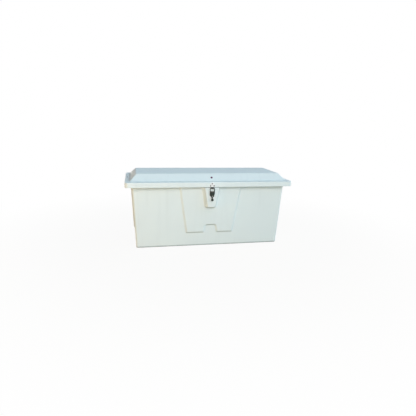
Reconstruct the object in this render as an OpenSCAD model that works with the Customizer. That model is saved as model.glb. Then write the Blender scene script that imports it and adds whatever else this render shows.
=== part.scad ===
// Fibreglass dock box: tapered tub, hip-crowned lid, draw latch, rear butt hinges and gas springs.
// Millimetres. The origin is on the ground at the middle of the base, +Z up, the front towards -Y.

/* [Overall] */
// Length of the lid, end to end
lid_length = 1270; // [1100:10:1500]
// Depth of the lid, front to back
lid_depth = 560; // [520:10:640]
// Height from the ground to the top of the lid
box_height = 568; // [508:4:648]

/* [Lid] */
// Height of the down-turned rim
rim_height = 38; // [36:1:50]
// Rise of the crown above the ledge
crown_rise = 52; // [44:1:64]
// Width of the flat ledge at each end
ledge_ends = 31; // [30:1:44]
// Width of the flat ledge at the front and the back
ledge_sides = 54; // [44:1:66]
// Run of the crown's end slopes
slope_run_ends = 50; // [32:1:58]
// Run of the crown's front and back slopes
slope_run_sides = 50; // [30:1:64]
// Corner radius of the rim, seen from above
rim_corner_r = 28; // [18:1:40]
// Corner radius of the crown, seen from above
crown_corner_r = 12; // [8:1:20]
// Round-over along the top edge of the rim
rim_edge_r = 4; // [2:0.5:6]
// Thickness of the lid moulding
lid_wall = 5; // [4:0.5:6]

/* [Tub] */
// Overhang of the rim beyond the top of the front and back walls
overhang = 51; // [47:1:58]
// Inward taper of the front and back walls, from the flange down to the ground
taper = 28.5; // [14:0.5:36]
// Overhang of the rim beyond the top of the end walls
end_overhang = 48; // [44:1:56]
// Inward taper of the end walls, from the flange down to the ground
end_taper = 24.5; // [14:0.5:36]
// Corner radius of the tub, seen from above
tub_corner_r = 15; // [14:1:30]
// Thickness of the tub moulding
tub_wall = 5; // [4:0.5:6]
// Round-over between the walls and the base
base_edge_r = 8; // [7:1:12]
// Thickness of the top flange
flange_t = 5; // [4:0.5:6]
// Gap between the flange edge and the inside of the rim
flange_gap = 7; // [6:0.5:9]
// Height of the flange's down-turned lip
lip_height = 12; // [8:1:14]
// Thickness of the lip
lip_t = 4; // [3:0.5:5]

/* [Lid seal] */
// Height of the seal
seal_height = 7.7; // [6:0.1:9]
// Width of the seal
seal_width = 10; // [8:0.5:10.5]
// Distance of the seal from the flange edge
seal_inset = 10.5; // [10:0.5:11]
// Clearance between the shut lid's soft parts and the flange
seat_clearance = 0.3; // [0.2:0.1:0.6]

/* [Front panel] */
// Height of the panel's lower edge above the ground
panel_bottom = 106; // [88:1:148]
// Width of the panel along its lower edge
panel_bottom_w = 372; // [320:2:420]
// Width of the panel at the flange
panel_top_w = 488; // [430:2:540]
// How far the panel stands out of the front wall
panel_proud = 12; // [9:0.5:14]
// Run of the sloping edge round the panel
panel_edge_run = 12; // [8:0.5:14]
// Corner radius of the panel, at the wall
panel_corner_r = 12; // [8:0.5:16]
// Height of the notch in the panel's lower edge
notch_height = 66; // [40:1:80]
// Corner radius of the notch's top
notch_corner_r = 14; // [10:0.5:18]
// Width of the notch along its top
notch_top_w = 84; // [60:1:90]
// Width of the notch along the panel's lower edge
notch_bottom_w = 108; // [96:1:130]
// Distance of the notch to the right of the middle
notch_shift = 6; // [-12:1:12]

/* [End panels] */
// Height of each end panel's lower edge above the ground
end_panel_bottom = 128; // [98:1:188]
// Width of an end panel along its lower edge
end_panel_bottom_w = 170; // [140:2:180]
// Width of an end panel at the flange
end_panel_top_w = 210; // [184:2:220]
// How far an end panel stands out of the end wall
end_panel_proud = 8; // [6:0.5:10]
// Run of the sloping edge round an end panel
end_panel_edge_run = 8; // [5:0.5:10]
// Corner radius of an end panel, at the wall
end_panel_corner_r = 12; // [8:0.5:16]

/* [Mounting pads] */
// Gap between the rim and the tops of the pads
pad_gap = 4; // [3:0.5:6]
// Height of the latch pad's face
latch_pad_height = 148; // [130:1:170]
// Width of the latch pad's face along its lower edge
latch_pad_bottom_w = 60; // [54:1:72]
// Width of the latch pad's face along its upper edge
latch_pad_top_w = 110; // [90:1:130]
// Corner radius of the latch pad's face
latch_pad_corner_r = 4; // [3:0.5:10]
// Run of the latch pad's sloping sides
latch_pad_run = 22; // [14:1:28]
// Height of each hinge pad's face
hinge_pad_height = 74; // [62:1:90]
// Width of each hinge pad
hinge_pad_w = 96; // [88:1:120]
// Run of the hinge pad's sloping underside
hinge_pad_run = 34; // [24:1:44]

/* [Hinges] */
// Distance of each hinge's middle from the end of the lid
hinge_inset = 235; // [180:5:300]
// Length of a hinge leaf
leaf_length = 76; // [66:1:84]
// Height of a hinge leaf, beyond its knuckle
leaf_height = 28; // [24:0.5:28.5]
// Thickness of a hinge leaf
leaf_t = 2; // [1.5:0.25:2.5]
// Outer radius of the hinge knuckle
knuckle_r = 5; // [4.5:0.25:6]
// Radius of the hinge pin
hinge_pin_r = 2.5; // [2:0.1:3]
// Distance between the rivets of a leaf
leaf_rivet_spacing = 52; // [44:1:56]

/* [Latch] */
// Drop of the lever pin below the rim
fulcrum_drop = 42; // [40:0.5:46]
// Distance of the lever pin from the pad's face
fulcrum_out = 8; // [7.8:0.1:8.2]
// Radius of the lever pin
lever_pin_r = 2; // [1.6:0.1:2.4]
// Distance from the lever pin to the bail's pivot
bail_throw = 13; // [12:0.25:14]
// Angle by which the shut bail pivot lies past dead centre
over_centre = 5; // [3:0.5:7]
// Drop of the bail's bar below the rim
bar_drop = 6; // [5:0.25:8]
// Distance of the bail's bar from the pad's face
bar_out = 6.5; // [6:0.1:7]
// Radius of the bail's wire
bail_wire_r = 2.4; // [2:0.05:2.6]
// Bend radius of the bail's upper corners
bail_bend_r = 6; // [4:0.5:8]
// Width of the lever
lever_w = 25; // [24:0.5:28]
// Thickness of the lever's sheet
lever_t = 1.8; // [1.5:0.1:2]
// Distance of the lever's front plate from the pad's face
lever_out = 12; // [11.8:0.1:13]
// Length of the lever's full-width part below its pin
lever_drop = 32; // [31:0.5:36]
// Width of the lever's neck
neck_w = 8; // [6:0.5:12]
// Length of the lever's neck
neck_length = 12; // [8:0.5:16]
// Radius of the finger knob
knob_r = 10; // [8:0.5:11]
// Thickness of the finger knob
knob_t = 5; // [3.5:0.25:6]
// Width of the base plate
base_plate_w = 34; // [30:1:40]
// Thickness of the base plate
base_plate_t = 2; // [1.5:0.1:2.2]
// Thickness of the base plate's ears
ear_t = 2; // [1.5:0.1:2.4]
// Thickness of the padlock staple
staple_t = 3; // [2.5:0.1:3.5]
// Half height of the padlock staple
staple_r = 6; // [5.5:0.1:6.4]
// Radius of the padlock eye
padlock_eye_r = 4.2; // [3.5:0.1:4.4]
// Distance of the padlock eye from the pad's face
padlock_eye_out = 19.5; // [19:0.25:21]
// Drop of the padlock eye below the lever pin
padlock_eye_drop = 19; // [18.5:0.25:20]
// Width of the keeper plate
keeper_w = 40; // [38:1:50]
// Height of the keeper plate
keeper_height = 31; // [29:0.5:31.5]
// Thickness of the keeper's sheet
keeper_t = 2; // [1.5:0.1:2.2]
// Width of the keeper's hook
hook_w = 20; // [14:0.5:21]
// Height of the hook's tongue above its seat
tongue_height = 6.5; // [5:0.25:7]

/* [Gas springs] */
// Distance from the hinge line to both studs of a spring
spring_arm = 250; // [240:1:262]
// Angle of the tub stud below the hinge line's level
spring_dip = 55; // [52:0.5:58]
// Distance of a spring from the end of the crown's flat top
spring_inset = 35; // [32:1:44]
// Outer radius of the cylinder
cylinder_r = 9; // [8:0.5:10]
// Wall of the cylinder
cylinder_wall = 1.5; // [1:0.1:2]
// Distance from the tub stud to the cylinder's gland end
gland_reach = 238; // [234:1:244]
// Radius of the piston rod
rod_r = 4; // [3:0.25:5]
// Distance from the lid stud to the piston's end
rod_reach = 246; // [240:1:250]
// Outer radius of an end eye
eye_r = 8; // [7:0.25:8.5]
// Width of an end eye
eye_w = 12; // [10:0.5:14]
// Length of an end eye, from its stud to the end of its shank
eye_length = 24; // [20:0.5:26]
// Radius of a spring stud
stud_r = 4; // [3:0.25:4.5]
// Thickness of the spring brackets
bracket_t = 3; // [2:0.25:4]
// Thickness of the backing blocks in the tub
tub_block_t = 18; // [16:0.5:22]
// Thickness of the backing blocks in the lid
lid_block_t = 12; // [11:0.5:14]
// Drop of the lid studs below their brackets
lid_stud_drop = 13; // [11:0.5:15]

/* [Small fittings] */
// Distance of the end bolts from the ends of the lid
bolt_inset = 16; // [15.5:0.5:17]
// Radius of an end bolt's cap
bolt_cap_r = 5; // [4:0.25:6.5]
// Radius of an end bolt's shank
bolt_r = 3; // [2:0.25:3.5]
// Radius of a lid bumper
bumper_r = 5; // [4.5:0.25:5.5]
// Distance of the slope plug to the right of the middle
plug_shift = 9; // [-12:1:12]
// Distance of the slope plug outwards from the middle of the slope
plug_drop = 3; // [-8:0.5:8]
// Radius of the slope plug's cap
plug_cap_r = 8.25; // [5:0.25:9]
// Radius of the slope plug's stem
plug_stem_r = 3.5; // [2.5:0.25:4]
// Radius of a blind rivet's head
rivet_head_r = 4.6; // [3.8:0.1:5]
// Radius of a blind rivet's shank
rivet_r = 1.6; // [1.4:0.1:1.8]
// Radius of a bracket screw's shank
screw_r = 2; // [1.6:0.1:2.4]

/* [Fits] */
// Radial clearance of a running pin
running_fit = 0.05; // [0.03:0.01:0.08]
// Radial clearance of a fixed pin
fixed_fit = 0.02; // [0.01:0.01:0.03]
// Radial clearance round rivets, screws and stems
hole_clearance = 0.15; // [0.1:0.05:0.3]
// Side gap between parts that turn past each other
side_gap = 0.35; // [0.3:0.05:0.5]

/* [Hidden] */
$fn = 48;
corner_fn = 64;
skin = 0.02;
past = 1;
round_step = 30;
arc_steps = 6;
face_corner_r = 4;
LEFT = -1;
RIGHT = 1;

gelcoat = [0.90, 0.92, 0.90];
steel = [0.70, 0.71, 0.72];
dark_steel = [0.35, 0.36, 0.37];
chrome = [0.82, 0.83, 0.84];
black_paint = [0.09, 0.09, 0.10];
rubber = [0.12, 0.12, 0.13];
block_board = [0.78, 0.70, 0.55];
plum = [0.38, 0.20, 0.33];

// Levels of the lid and the flange
ledge_z = box_height - crown_rise;
rim_bottom_z = ledge_z - rim_height;
lid_under_z = ledge_z - lid_wall;
crown_under_z = box_height - lid_wall;
flange_top_z = lid_under_z - seal_height - seat_clearance;
flange_under_z = flange_top_z - flange_t;
pad_top_z = rim_bottom_z - pad_gap;

// Half sizes of the lid
lid_hx = lid_length / 2;
lid_hy = lid_depth / 2;
rim_in_hx = lid_hx - lid_wall;
rim_in_hy = lid_hy - lid_wall;
crown_foot_hx = lid_hx - ledge_ends;
crown_foot_hy = lid_hy - ledge_sides;
crown_top_hx = crown_foot_hx - slope_run_ends;
crown_top_hy = crown_foot_hy - slope_run_sides;

// Half sizes of the tub's outside at a height, and of its flange
base_hx = lid_hx - end_overhang - end_taper;
base_hy = lid_hy - overhang - taper;
draft = atan(taper / flange_top_z);
end_draft = atan(end_taper / flange_top_z);
flange_hx = rim_in_hx - flange_gap;
flange_hy = rim_in_hy - flange_gap;
flange_corner_r = rim_corner_r;
function wall_hx(z) = base_hx + end_taper * z / flange_top_z;
function wall_hy(z) = base_hy + taper * z / flange_top_z;

// How far a slope's inner face lies inside its outer face, measured level
function level_inset(run) = lid_wall * norm([run, crown_rise]) / crown_rise;
function crown_in(foot, run, z) = foot - run * (z - ledge_z) / crown_rise - level_inset(run);

// Hinge line
hinge_x = lid_hx - hinge_inset;
knuckle_gap = 0.3;
leaf_step = 0.5;
hinge_y = lid_hy + knuckle_r + knuckle_gap;
hinge_z = rim_bottom_z - pad_gap / 2;
leaf_start = knuckle_r + leaf_step;
knuckle_count = 5;
leaf_rivet_z = leaf_start + leaf_height / 2;

// Latch points: distance out from the pad's face, and height
fulcrum_z = rim_bottom_z - fulcrum_drop;
pivot_out = fulcrum_out - bail_throw * sin(over_centre);
pivot_z = fulcrum_z - bail_throw * cos(over_centre);
bar_z = rim_bottom_z - bar_drop;
bail_length = norm([bar_out - pivot_out, bar_z - pivot_z]);
bail_lean = atan2(pivot_out - bar_out, bar_z - pivot_z);
bail_foot_bend_r = 3.2;
wire_lap = 0.1;
bail_hw = lever_w / 2 + side_gap + bail_foot_bend_r;
cheek_in = lever_w / 2 - lever_t;
ear_out = cheek_in - side_gap;
pivot_boss_r = 4;
fulcrum_boss_r = 5.5;
ear_gap = 0.5;
ear_boss_r = lever_out - fulcrum_out - ear_gap;
lever_top_rise = 3;
pin_proud = side_gap / 3;
knob_sink = 0.75 * knob_r;
lever_bottom_z = fulcrum_z - lever_drop;
knob_z = lever_bottom_z - neck_length - knob_sink;
eye_z = fulcrum_z - padlock_eye_drop;
slot_gap = 0.7;
slot_top_z = eye_z + staple_r + slot_gap;
slot_bottom_z = fulcrum_z - norm([padlock_eye_out - fulcrum_out, padlock_eye_drop]) - staple_r - slot_gap;
base_plate_rise = 12;
base_plate_foot = 15;
base_rivet_margin = 7;
rivet_head_gap = 1;
base_top_z = fulcrum_z + base_plate_rise;
base_bottom_z = slot_bottom_z - base_plate_foot;
base_rivets_z = [base_bottom_z + base_rivet_margin, eye_z + staple_r + rivet_head_r + rivet_head_gap];
seat_z = bar_z - bail_wire_r - seat_clearance;
keeper_lift = 2;
keeper_rivet_margin = 7;
keeper_low_rivet_z = 8;
keeper_top_hw = 0.45 * keeper_w / 2;
keeper_shoulder_z = 0.4 * keeper_height;
keeper_bottom_z = rim_bottom_z + keeper_lift;
keeper_rivet_places = [
    [0, keeper_height - keeper_rivet_margin],
    [keeper_w / 2 - keeper_rivet_margin, keeper_low_rivet_z],
    [keeper_rivet_margin - keeper_w / 2, keeper_low_rivet_z],
];
hook_lap = 2;
hook_back = 0.5;
bar_slack = 2.3;

// Gas spring studs in the Y-Z plane, both one arm away from the hinge line
spring_x = crown_top_hx - spring_inset;
lid_stud_z = crown_under_z - lid_block_t - bracket_t - lid_stud_drop;
lid_stud_rise = asin((lid_stud_z - hinge_z) / spring_arm);
lid_stud = [hinge_y - spring_arm * cos(lid_stud_rise), lid_stud_z];
tub_stud = [hinge_y - spring_arm * cos(spring_dip), hinge_z - spring_arm * sin(spring_dip)];
shut_length = norm(lid_stud - tub_stud);
spring_tilt = atan2(lid_stud[1] - tub_stud[1], lid_stud[0] - tub_stud[0]);
piston_gap = 0.1;
piston_length = 8;
gland_length = 8;
stud_collar_rim = 2;
stud_collar_r = stud_r + stud_collar_rim;
stud_head_t = 2;
eye_shank_step = 1;
eye_shank_r = eye_w / 2 - eye_shank_step;
tub_block_size = [50, 60];
tub_bracket_size = [36, 46];
tub_face_x = wall_hx(tub_stud[1]) - tub_wall - tub_block_t;
bracket_screw_spacing = 32;
lid_collar_length = 8;
ear_x = spring_x - eye_w / 2 - side_gap - lid_collar_length;
lid_ear_t = 4;
lid_ear_rim = 1;
lid_bracket_size = [28, 44];
lid_block_margin = 4;
lid_screw_margin = 11;
lid_screw_x = ear_x - lid_ear_t - lid_screw_margin;
screw_head_r = screw_r * 2;
screw_head_t = 2.5;
screw_crown_r = 0.7 * screw_head_r;
screw_length = 9;

// Small fittings
bolt_x = lid_hx - bolt_inset;
bolt_cap_h = 3.5;
bolt_crown_r = 0.6 * bolt_cap_r;
bolt_bite = 5;
plug_tilt = atan2(crown_rise, slope_run_sides);
plug_in = slope_run_sides / 2 - plug_drop;
plug_at = [plug_shift, -(crown_foot_hy - plug_in), ledge_z + plug_in * crown_rise / slope_run_sides];
plug_cap_h = 2;
plug_crown_r = 0.7 * plug_cap_r;
plug_bite = 2;
rivet_head_h = 1.8;
rivet_crown_r = 0.6 * rivet_head_r;
rivet_tail_flare = 1;
rivet_tail_r = rivet_r + rivet_tail_flare;
rivet_tail_h = 2.5;
rivet_dimple_r = 1.1;

// Shared shapes

// Rounded rectangle with half sizes hx and hy
module rounded_rect(hx, hy, r) {
    square([2 * hx, 2 * (hy - r)], center = true);
    square([2 * (hx - r), 2 * hy], center = true);
    for (sx = [-1, 1], sy = [-1, 1]) translate([sx * (hx - r), sy * (hy - r)]) circle(r, $fn = corner_fn);
}

// Thin level slice for a hull, with its top at z
module slice(hx, hy, r, z) {
    translate([0, 0, z - skin]) linear_extrude(skin) rounded_rect(hx, hy, r);
}

// Body of the tub, drawn in by inset, from a bottom at floor_z that is rounded over by edge_r up to top_z
module tub_form(inset, edge_r, floor_z, top_z) {
    hull() {
        for (a = [0:round_step:90]) {
            in = inset + edge_r * (1 - sin(a));
            z = floor_z + skin + edge_r * (1 - cos(a));
            slice(wall_hx(z) - in, wall_hy(z) - in, tub_corner_r - in, z);
        }
        slice(wall_hx(top_z) - inset, wall_hy(top_z) - inset, tub_corner_r - inset, top_z);
    }
}

// Children drawn flat on the front wall: X along it, Y up it, Z out of it
module on_front_wall() {
    translate([0, -base_hy, 0]) rotate([90 + draft, 0, 0]) children();
}

// Children drawn flat on an end wall: X along it, Y up it, Z out of it
module on_end_wall(side) {
    mirror([side == LEFT ? 1 : 0, 0, 0])
        translate([base_hx, 0, 0]) rotate([0, 0, 90]) rotate([90 + end_draft, 0, 0]) children();
}

// Points of an arc about a centre, from one angle to another
function arc(centre, r, from, to) = [
    for (i = [0:arc_steps]) let (a = from + (to - from) * i / arc_steps) centre + r * [cos(a), sin(a)],
];

// Points of one side, and the same points mirrored in X on the way back
function both_sides(points) = concat(
    points,
    [for (i = [len(points) - 1:-1:0]) [-points[i][0], points[i][1]]]
);

// Trapezoid standing on bottom, drawn in by inset on its sides and lower edge, with rounded lower corners
module trapezoid(bottom_w, top_w, bottom, top, inset, r) {
    slope = (top_w - bottom_w) / 2 / (top - bottom);
    low_hw = bottom_w / 2 + slope * inset - inset;
    centre = [low_hw + slope * r - r * norm([1, slope]), bottom + inset + r];
    polygon(both_sides(concat(arc(centre, r, -90, -atan(slope)), [[top_w / 2 - inset, top]])));
}

// Raised trapezoid with sloping edges, sunk a little into its wall
module raised_trapezoid(bottom_w, top_w, bottom, top, proud, run, r) {
    sink = 3;
    hull() {
        translate([0, 0, -sink]) linear_extrude(sink) trapezoid(bottom_w, top_w, bottom, top, 0, r);
        translate([0, 0, proud - skin]) linear_extrude(skin)
            trapezoid(bottom_w, top_w, bottom, top, run, face_corner_r);
    }
}

// Turns a drawing of [distance out, height] into a solid across X, on the front face plane
module across(width) {
    translate([-width / 2, -lid_hy, 0]) rotate([90, 0, 90]) mirror([1, 0, 0])
        linear_extrude(width) children();
}

// Cylinder along X, from x0 to x1
module bar_x(x0, x1, r) {
    translate([x0, 0, 0]) rotate([0, 90, 0]) cylinder(r = r, h = x1 - x0);
}

// Blind rivet whose head sits on Z = 0 and whose shank runs down through the grip
module blind_rivet(grip) {
    difference() {
        union() {
            cylinder(r1 = rivet_head_r, r2 = rivet_crown_r, h = rivet_head_h);
            translate([0, 0, -grip - rivet_tail_h]) cylinder(r = rivet_r, h = grip + rivet_tail_h);
            translate([0, 0, -grip - rivet_tail_h]) cylinder(r = rivet_tail_r, h = rivet_tail_h);
        }
        translate([0, 0, rivet_head_h / 2]) cylinder(r = rivet_dimple_r, h = rivet_head_h);
    }
}

// Places of the rivets, with Z pointing out of the face
module at_keeper_rivets() {
    for (p = keeper_rivet_places)
        translate([p[0], -lid_hy, keeper_bottom_z + p[1]]) rotate([90, 0, 0]) children();
}

module at_base_rivets() {
    for (z = base_rivets_z) translate([0, -lid_hy, z]) rotate([90, 0, 0]) children();
}

module at_leaf_rivets(up) {
    for (side = [LEFT, RIGHT], end = [-1, 1])
        translate([side * hinge_x, lid_hy, hinge_z])
            translate([end * leaf_rivet_spacing / 2, 0, up * leaf_rivet_z]) rotate([-90, 0, 0]) children();
}

// Hole for one rivet, screw or stem, all the way through a wall at Z = 0
module rivet_hole(wall) {
    translate([0, 0, -wall - past]) cylinder(r = rivet_r + hole_clearance, h = wall + 2 * past);
}

// Tub

module front_panel() {
    on_front_wall() difference() {
        raised_trapezoid(panel_bottom_w, panel_top_w, panel_bottom, flange_under_z,
            panel_proud, panel_edge_run, panel_corner_r);
        hull() {
            linear_extrude(skin) notch_outline(-panel_edge_run / 2);
            translate([0, 0, panel_proud]) linear_extrude(past) notch_outline(panel_edge_run / 2);
        }
    }
}

// Notch in the panel's lower edge, grown by margin
module notch_outline(margin) {
    r = notch_corner_r + margin;
    low = [notch_bottom_w / 2 + margin, panel_bottom - past];
    top = [notch_top_w / 2 + margin, panel_bottom + notch_height + margin];
    slope = (low[0] - top[0]) / (top[1] - low[1]);
    centre = [top[0] + slope * r - r * norm([1, slope]), top[1] - r];
    translate([notch_shift, 0]) polygon(both_sides(concat([low], arc(centre, r, atan(slope), 90))));
}

// Hollow behind the front panel, so that its wall keeps the tub's thickness
module front_panel_hollow() {
    margin = panel_edge_run + tub_wall / 2;
    on_front_wall() translate([0, 0, -tub_wall - past])
        linear_extrude(panel_proud + past) difference() {
            trapezoid(panel_bottom_w, panel_top_w, panel_bottom, flange_under_z - tub_wall, margin,
                face_corner_r);
            notch_outline(margin);
        }
}

module end_panel_hollow(side) {
    margin = end_panel_edge_run + tub_wall / 2;
    on_end_wall(side) translate([0, 0, -tub_wall - past])
        linear_extrude(end_panel_proud + past)
            trapezoid(end_panel_bottom_w, end_panel_top_w, end_panel_bottom, flange_under_z - tub_wall,
                margin, face_corner_r);
}

// Raised pad whose face lies flush with the rim, under the middle of the front
module latch_pad() {
    face_depth = lid_hy;
    root_depth = base_hy + tub_wall;
    bottom = pad_top_z - latch_pad_height;
    hull() {
        translate([0, skin - face_depth, 0]) rotate([90, 0, 0]) linear_extrude(skin)
            trapezoid(latch_pad_bottom_w, latch_pad_top_w, bottom, pad_top_z, 0, latch_pad_corner_r);
        translate([0, -root_depth, 0]) rotate([90, 0, 0]) linear_extrude(skin)
            trapezoid(latch_pad_bottom_w, latch_pad_top_w, bottom, pad_top_z, -latch_pad_run,
                latch_pad_corner_r + latch_pad_run / 2);
    }
}

module latch_pad_hollow() {
    bottom = pad_top_z - latch_pad_height;
    roof = pad_top_z - tub_wall;
    inner = overhang + taper + 2 * tub_wall;
    across(latch_pad_bottom_w - 2 * tub_wall) polygon([
        [-tub_wall, bottom + tub_wall], [-tub_wall, roof],
        [-inner, roof], [-inner, bottom + tub_wall - latch_pad_run],
    ]);
}

// Section of a hinge pad, drawn in by inset, as [distance behind the back face of the rim, height]
module hinge_pad_section(inset, root) {
    bottom = pad_top_z - hinge_pad_height + inset;
    top = pad_top_z - inset;
    polygon([[-inset, bottom], [-inset, top], [-root, top], [-root, bottom - hinge_pad_run]]);
}

module hinge_pad(side, inset, root) {
    width = hinge_pad_w - 2 * inset;
    translate([side * hinge_x - width / 2, lid_hy, 0]) rotate([90, 0, 90])
        linear_extrude(width) hinge_pad_section(inset, root);
}

module flange() {
    translate([0, 0, flange_under_z]) linear_extrude(flange_t)
        rounded_rect(flange_hx, flange_hy, flange_corner_r);
    translate([0, 0, flange_under_z - lip_height]) linear_extrude(lip_height + skin) difference() {
        rounded_rect(flange_hx, flange_hy, flange_corner_r);
        rounded_rect(flange_hx - lip_t, flange_hy - lip_t, flange_corner_r - lip_t);
    }
}

module tub() {
    pad_root = overhang + tub_wall / 2;
    hollow_root = overhang + taper + 2 * tub_wall;
    color(gelcoat) difference() {
        union() {
            tub_form(0, base_edge_r, 0, flange_top_z);
            flange();
            front_panel();
            latch_pad();
            for (side = [LEFT, RIGHT]) {
                on_end_wall(side) raised_trapezoid(end_panel_bottom_w, end_panel_top_w, end_panel_bottom,
                    flange_under_z, end_panel_proud, end_panel_edge_run, end_panel_corner_r);
                hinge_pad(side, 0, pad_root);
            }
        }
        tub_form(tub_wall, base_edge_r - tub_wall, tub_wall, flange_top_z + past);
        front_panel_hollow();
        latch_pad_hollow();
        for (side = [LEFT, RIGHT]) {
            end_panel_hollow(side);
            hinge_pad(side, tub_wall, hollow_root);
        }
        at_base_rivets() rivet_hole(tub_wall);
        at_leaf_rivets(-1) rivet_hole(tub_wall);
    }
}

// Lid

module lid_outside() {
    hull() {
        for (a = [0:round_step:90]) {
            in = rim_edge_r * (1 - cos(a));
            slice(lid_hx - in, lid_hy - in, rim_corner_r - in, ledge_z - rim_edge_r * (1 - sin(a)));
        }
        slice(lid_hx, lid_hy, rim_corner_r, rim_bottom_z + skin);
    }
    hull() {
        slice(crown_foot_hx, crown_foot_hy, crown_corner_r, ledge_z);
        slice(crown_top_hx, crown_top_hy, crown_corner_r, box_height);
    }
}

module lid_inside() {
    in_r = crown_corner_r - lid_wall;
    translate([0, 0, rim_bottom_z - past]) linear_extrude(lid_under_z - rim_bottom_z + past)
        rounded_rect(rim_in_hx, rim_in_hy, rim_corner_r - lid_wall);
    hull() for (z = [lid_under_z - past, crown_under_z])
        slice(
            crown_in(crown_foot_hx, slope_run_ends, z), crown_in(crown_foot_hy, slope_run_sides, z), in_r, z
        );
}

module lid() {
    color(gelcoat) difference() {
        lid_outside();
        lid_inside();
        at_keeper_rivets() rivet_hole(lid_wall);
        at_leaf_rivets(1) rivet_hole(lid_wall);
        for (side = [LEFT, RIGHT]) translate([side * bolt_x, 0, lid_under_z - past])
            cylinder(r = bolt_r + hole_clearance, h = lid_wall + 2 * past);
        on_slope() translate([0, 0, -lid_wall - past])
            cylinder(r = plug_stem_r + hole_clearance, h = lid_wall + 2 * past);
    }
}

// Children standing square on the front slope, above the latch
module on_slope() {
    translate(plug_at) rotate([plug_tilt, 0, 0]) children();
}

module lid_seal() {
    out_hx = flange_hx - seal_inset;
    out_hy = flange_hy - seal_inset;
    out_r = flange_corner_r;
    color(rubber) translate([0, 0, lid_under_z - seal_height]) linear_extrude(seal_height) difference() {
        rounded_rect(out_hx, out_hy, out_r);
        rounded_rect(out_hx - seal_width, out_hy - seal_width, out_r - seal_width);
    }
}

// Hinges

// One leaf of a hinge, with up = 1 for the lid's and -1 for the tub's, and the numbers of its knuckles
module hinge_leaf(side, up, knuckles, fit) {
    pitch = leaf_length / knuckle_count;
    color(steel) translate([side * hinge_x, hinge_y, hinge_z]) difference() {
        union() {
            translate([-leaf_length / 2, lid_hy - hinge_y, up > 0 ? leaf_start : -leaf_start - leaf_height])
                cube([leaf_length, leaf_t, leaf_height]);
            for (k = knuckles) {
                x0 = -leaf_length / 2 + k * pitch + knuckle_gap / 2;
                bar_x(x0, x0 + pitch - knuckle_gap, knuckle_r);
                translate([x0, lid_hy - hinge_y, up > 0 ? 0 : -leaf_start - past])
                    cube([pitch - knuckle_gap, leaf_t, leaf_start + past]);
            }
        }
        bar_x(-leaf_length, leaf_length, hinge_pin_r + fit);
        for (end = [-1, 1])
            translate([end * leaf_rivet_spacing / 2, lid_hy + leaf_t - hinge_y, up * leaf_rivet_z])
                rotate([-90, 0, 0]) rivet_hole(leaf_t);
    }
}

module hinge_pin(side) {
    color(steel) translate([side * hinge_x, hinge_y, hinge_z])
        bar_x(-leaf_length / 2 - past, leaf_length / 2 + past, hinge_pin_r);
}

module left_hinge_tub_leaf() { hinge_leaf(LEFT, -1, [0, 2, 4], fixed_fit); }
module right_hinge_tub_leaf() { hinge_leaf(RIGHT, -1, [0, 2, 4], fixed_fit); }
module left_hinge_lid_leaf() { hinge_leaf(LEFT, 1, [1, 3], running_fit); }
module right_hinge_lid_leaf() { hinge_leaf(RIGHT, 1, [1, 3], running_fit); }
module left_hinge_pin() { hinge_pin(LEFT); }
module right_hinge_pin() { hinge_pin(RIGHT); }

module hinge_tub_rivets() {
    color(steel) at_leaf_rivets(-1) translate([0, 0, leaf_t]) blind_rivet(leaf_t + tub_wall);
}

module hinge_lid_rivets() {
    color(steel) at_leaf_rivets(1) translate([0, 0, leaf_t]) blind_rivet(leaf_t + lid_wall);
}

// Latch

// Section of the hook, bent out and up from the keeper plate round the bail's bar
module hook_section() {
    leg_in = hook_back + keeper_t;
    tongue_in = bar_out + bail_wire_r + bar_slack;
    tongue_out = tongue_in + keeper_t;
    bend = 1.5;
    leg_top = keeper_bottom_z + hook_lap;
    polygon([
        [hook_back, leg_top], [leg_in, leg_top], [leg_in, seat_z + bend], [leg_in + bend, seat_z],
        [tongue_in - bend, seat_z], [tongue_in, seat_z + bend], [tongue_in, seat_z + tongue_height],
        [tongue_out, seat_z + tongue_height], [tongue_out, seat_z], [tongue_in, seat_z - keeper_t],
        [leg_in, seat_z - keeper_t], [hook_back, seat_z],
    ]);
}

module latch_keeper() {
    hw = keeper_w / 2;
    color(steel) union() {
        translate([0, -lid_hy, keeper_bottom_z]) rotate([90, 0, 0]) difference() {
            linear_extrude(keeper_t) polygon([
                [-hw, 0], [hw, 0], [hw, keeper_shoulder_z], [keeper_top_hw, keeper_height],
                [-keeper_top_hw, keeper_height], [-hw, keeper_shoulder_z],
            ]);
            for (p = keeper_rivet_places) translate([p[0], p[1], keeper_t]) rivet_hole(keeper_t);
        }
        across(hook_w) hook_section();
    }
}

module keeper_rivets() {
    color(dark_steel) at_keeper_rivets() translate([0, 0, keeper_t]) blind_rivet(keeper_t + lid_wall);
}

// Ear that carries the lever pin
module ear_section() {
    translate([fulcrum_out, fulcrum_z]) circle(ear_boss_r);
    translate([0, fulcrum_z - ear_boss_r]) square([fulcrum_out, 2 * ear_boss_r]);
}

module staple_section() {
    translate([padlock_eye_out, eye_z]) circle(staple_r);
    translate([0, eye_z - staple_r]) square([padlock_eye_out, 2 * staple_r]);
}

module latch_base() {
    color(steel) difference() {
        union() {
            translate([-base_plate_w / 2, -lid_hy - base_plate_t, base_bottom_z])
                cube([base_plate_w, base_plate_t, base_top_z - base_bottom_z]);
            for (end = [-1, 1]) translate([end * (ear_out - ear_t / 2), 0, 0]) across(ear_t) ear_section();
            across(staple_t) staple_section();
        }
        translate([0, -lid_hy - fulcrum_out, fulcrum_z]) bar_x(-lever_w, lever_w, lever_pin_r + fixed_fit);
        translate([0, -lid_hy - padlock_eye_out, eye_z]) bar_x(-staple_t, staple_t, padlock_eye_r);
        at_base_rivets() translate([0, 0, base_plate_t]) rivet_hole(base_plate_t);
    }
}

module latch_base_rivets() {
    color(steel) at_base_rivets() translate([0, 0, base_plate_t]) blind_rivet(base_plate_t + tub_wall);
}

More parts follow.
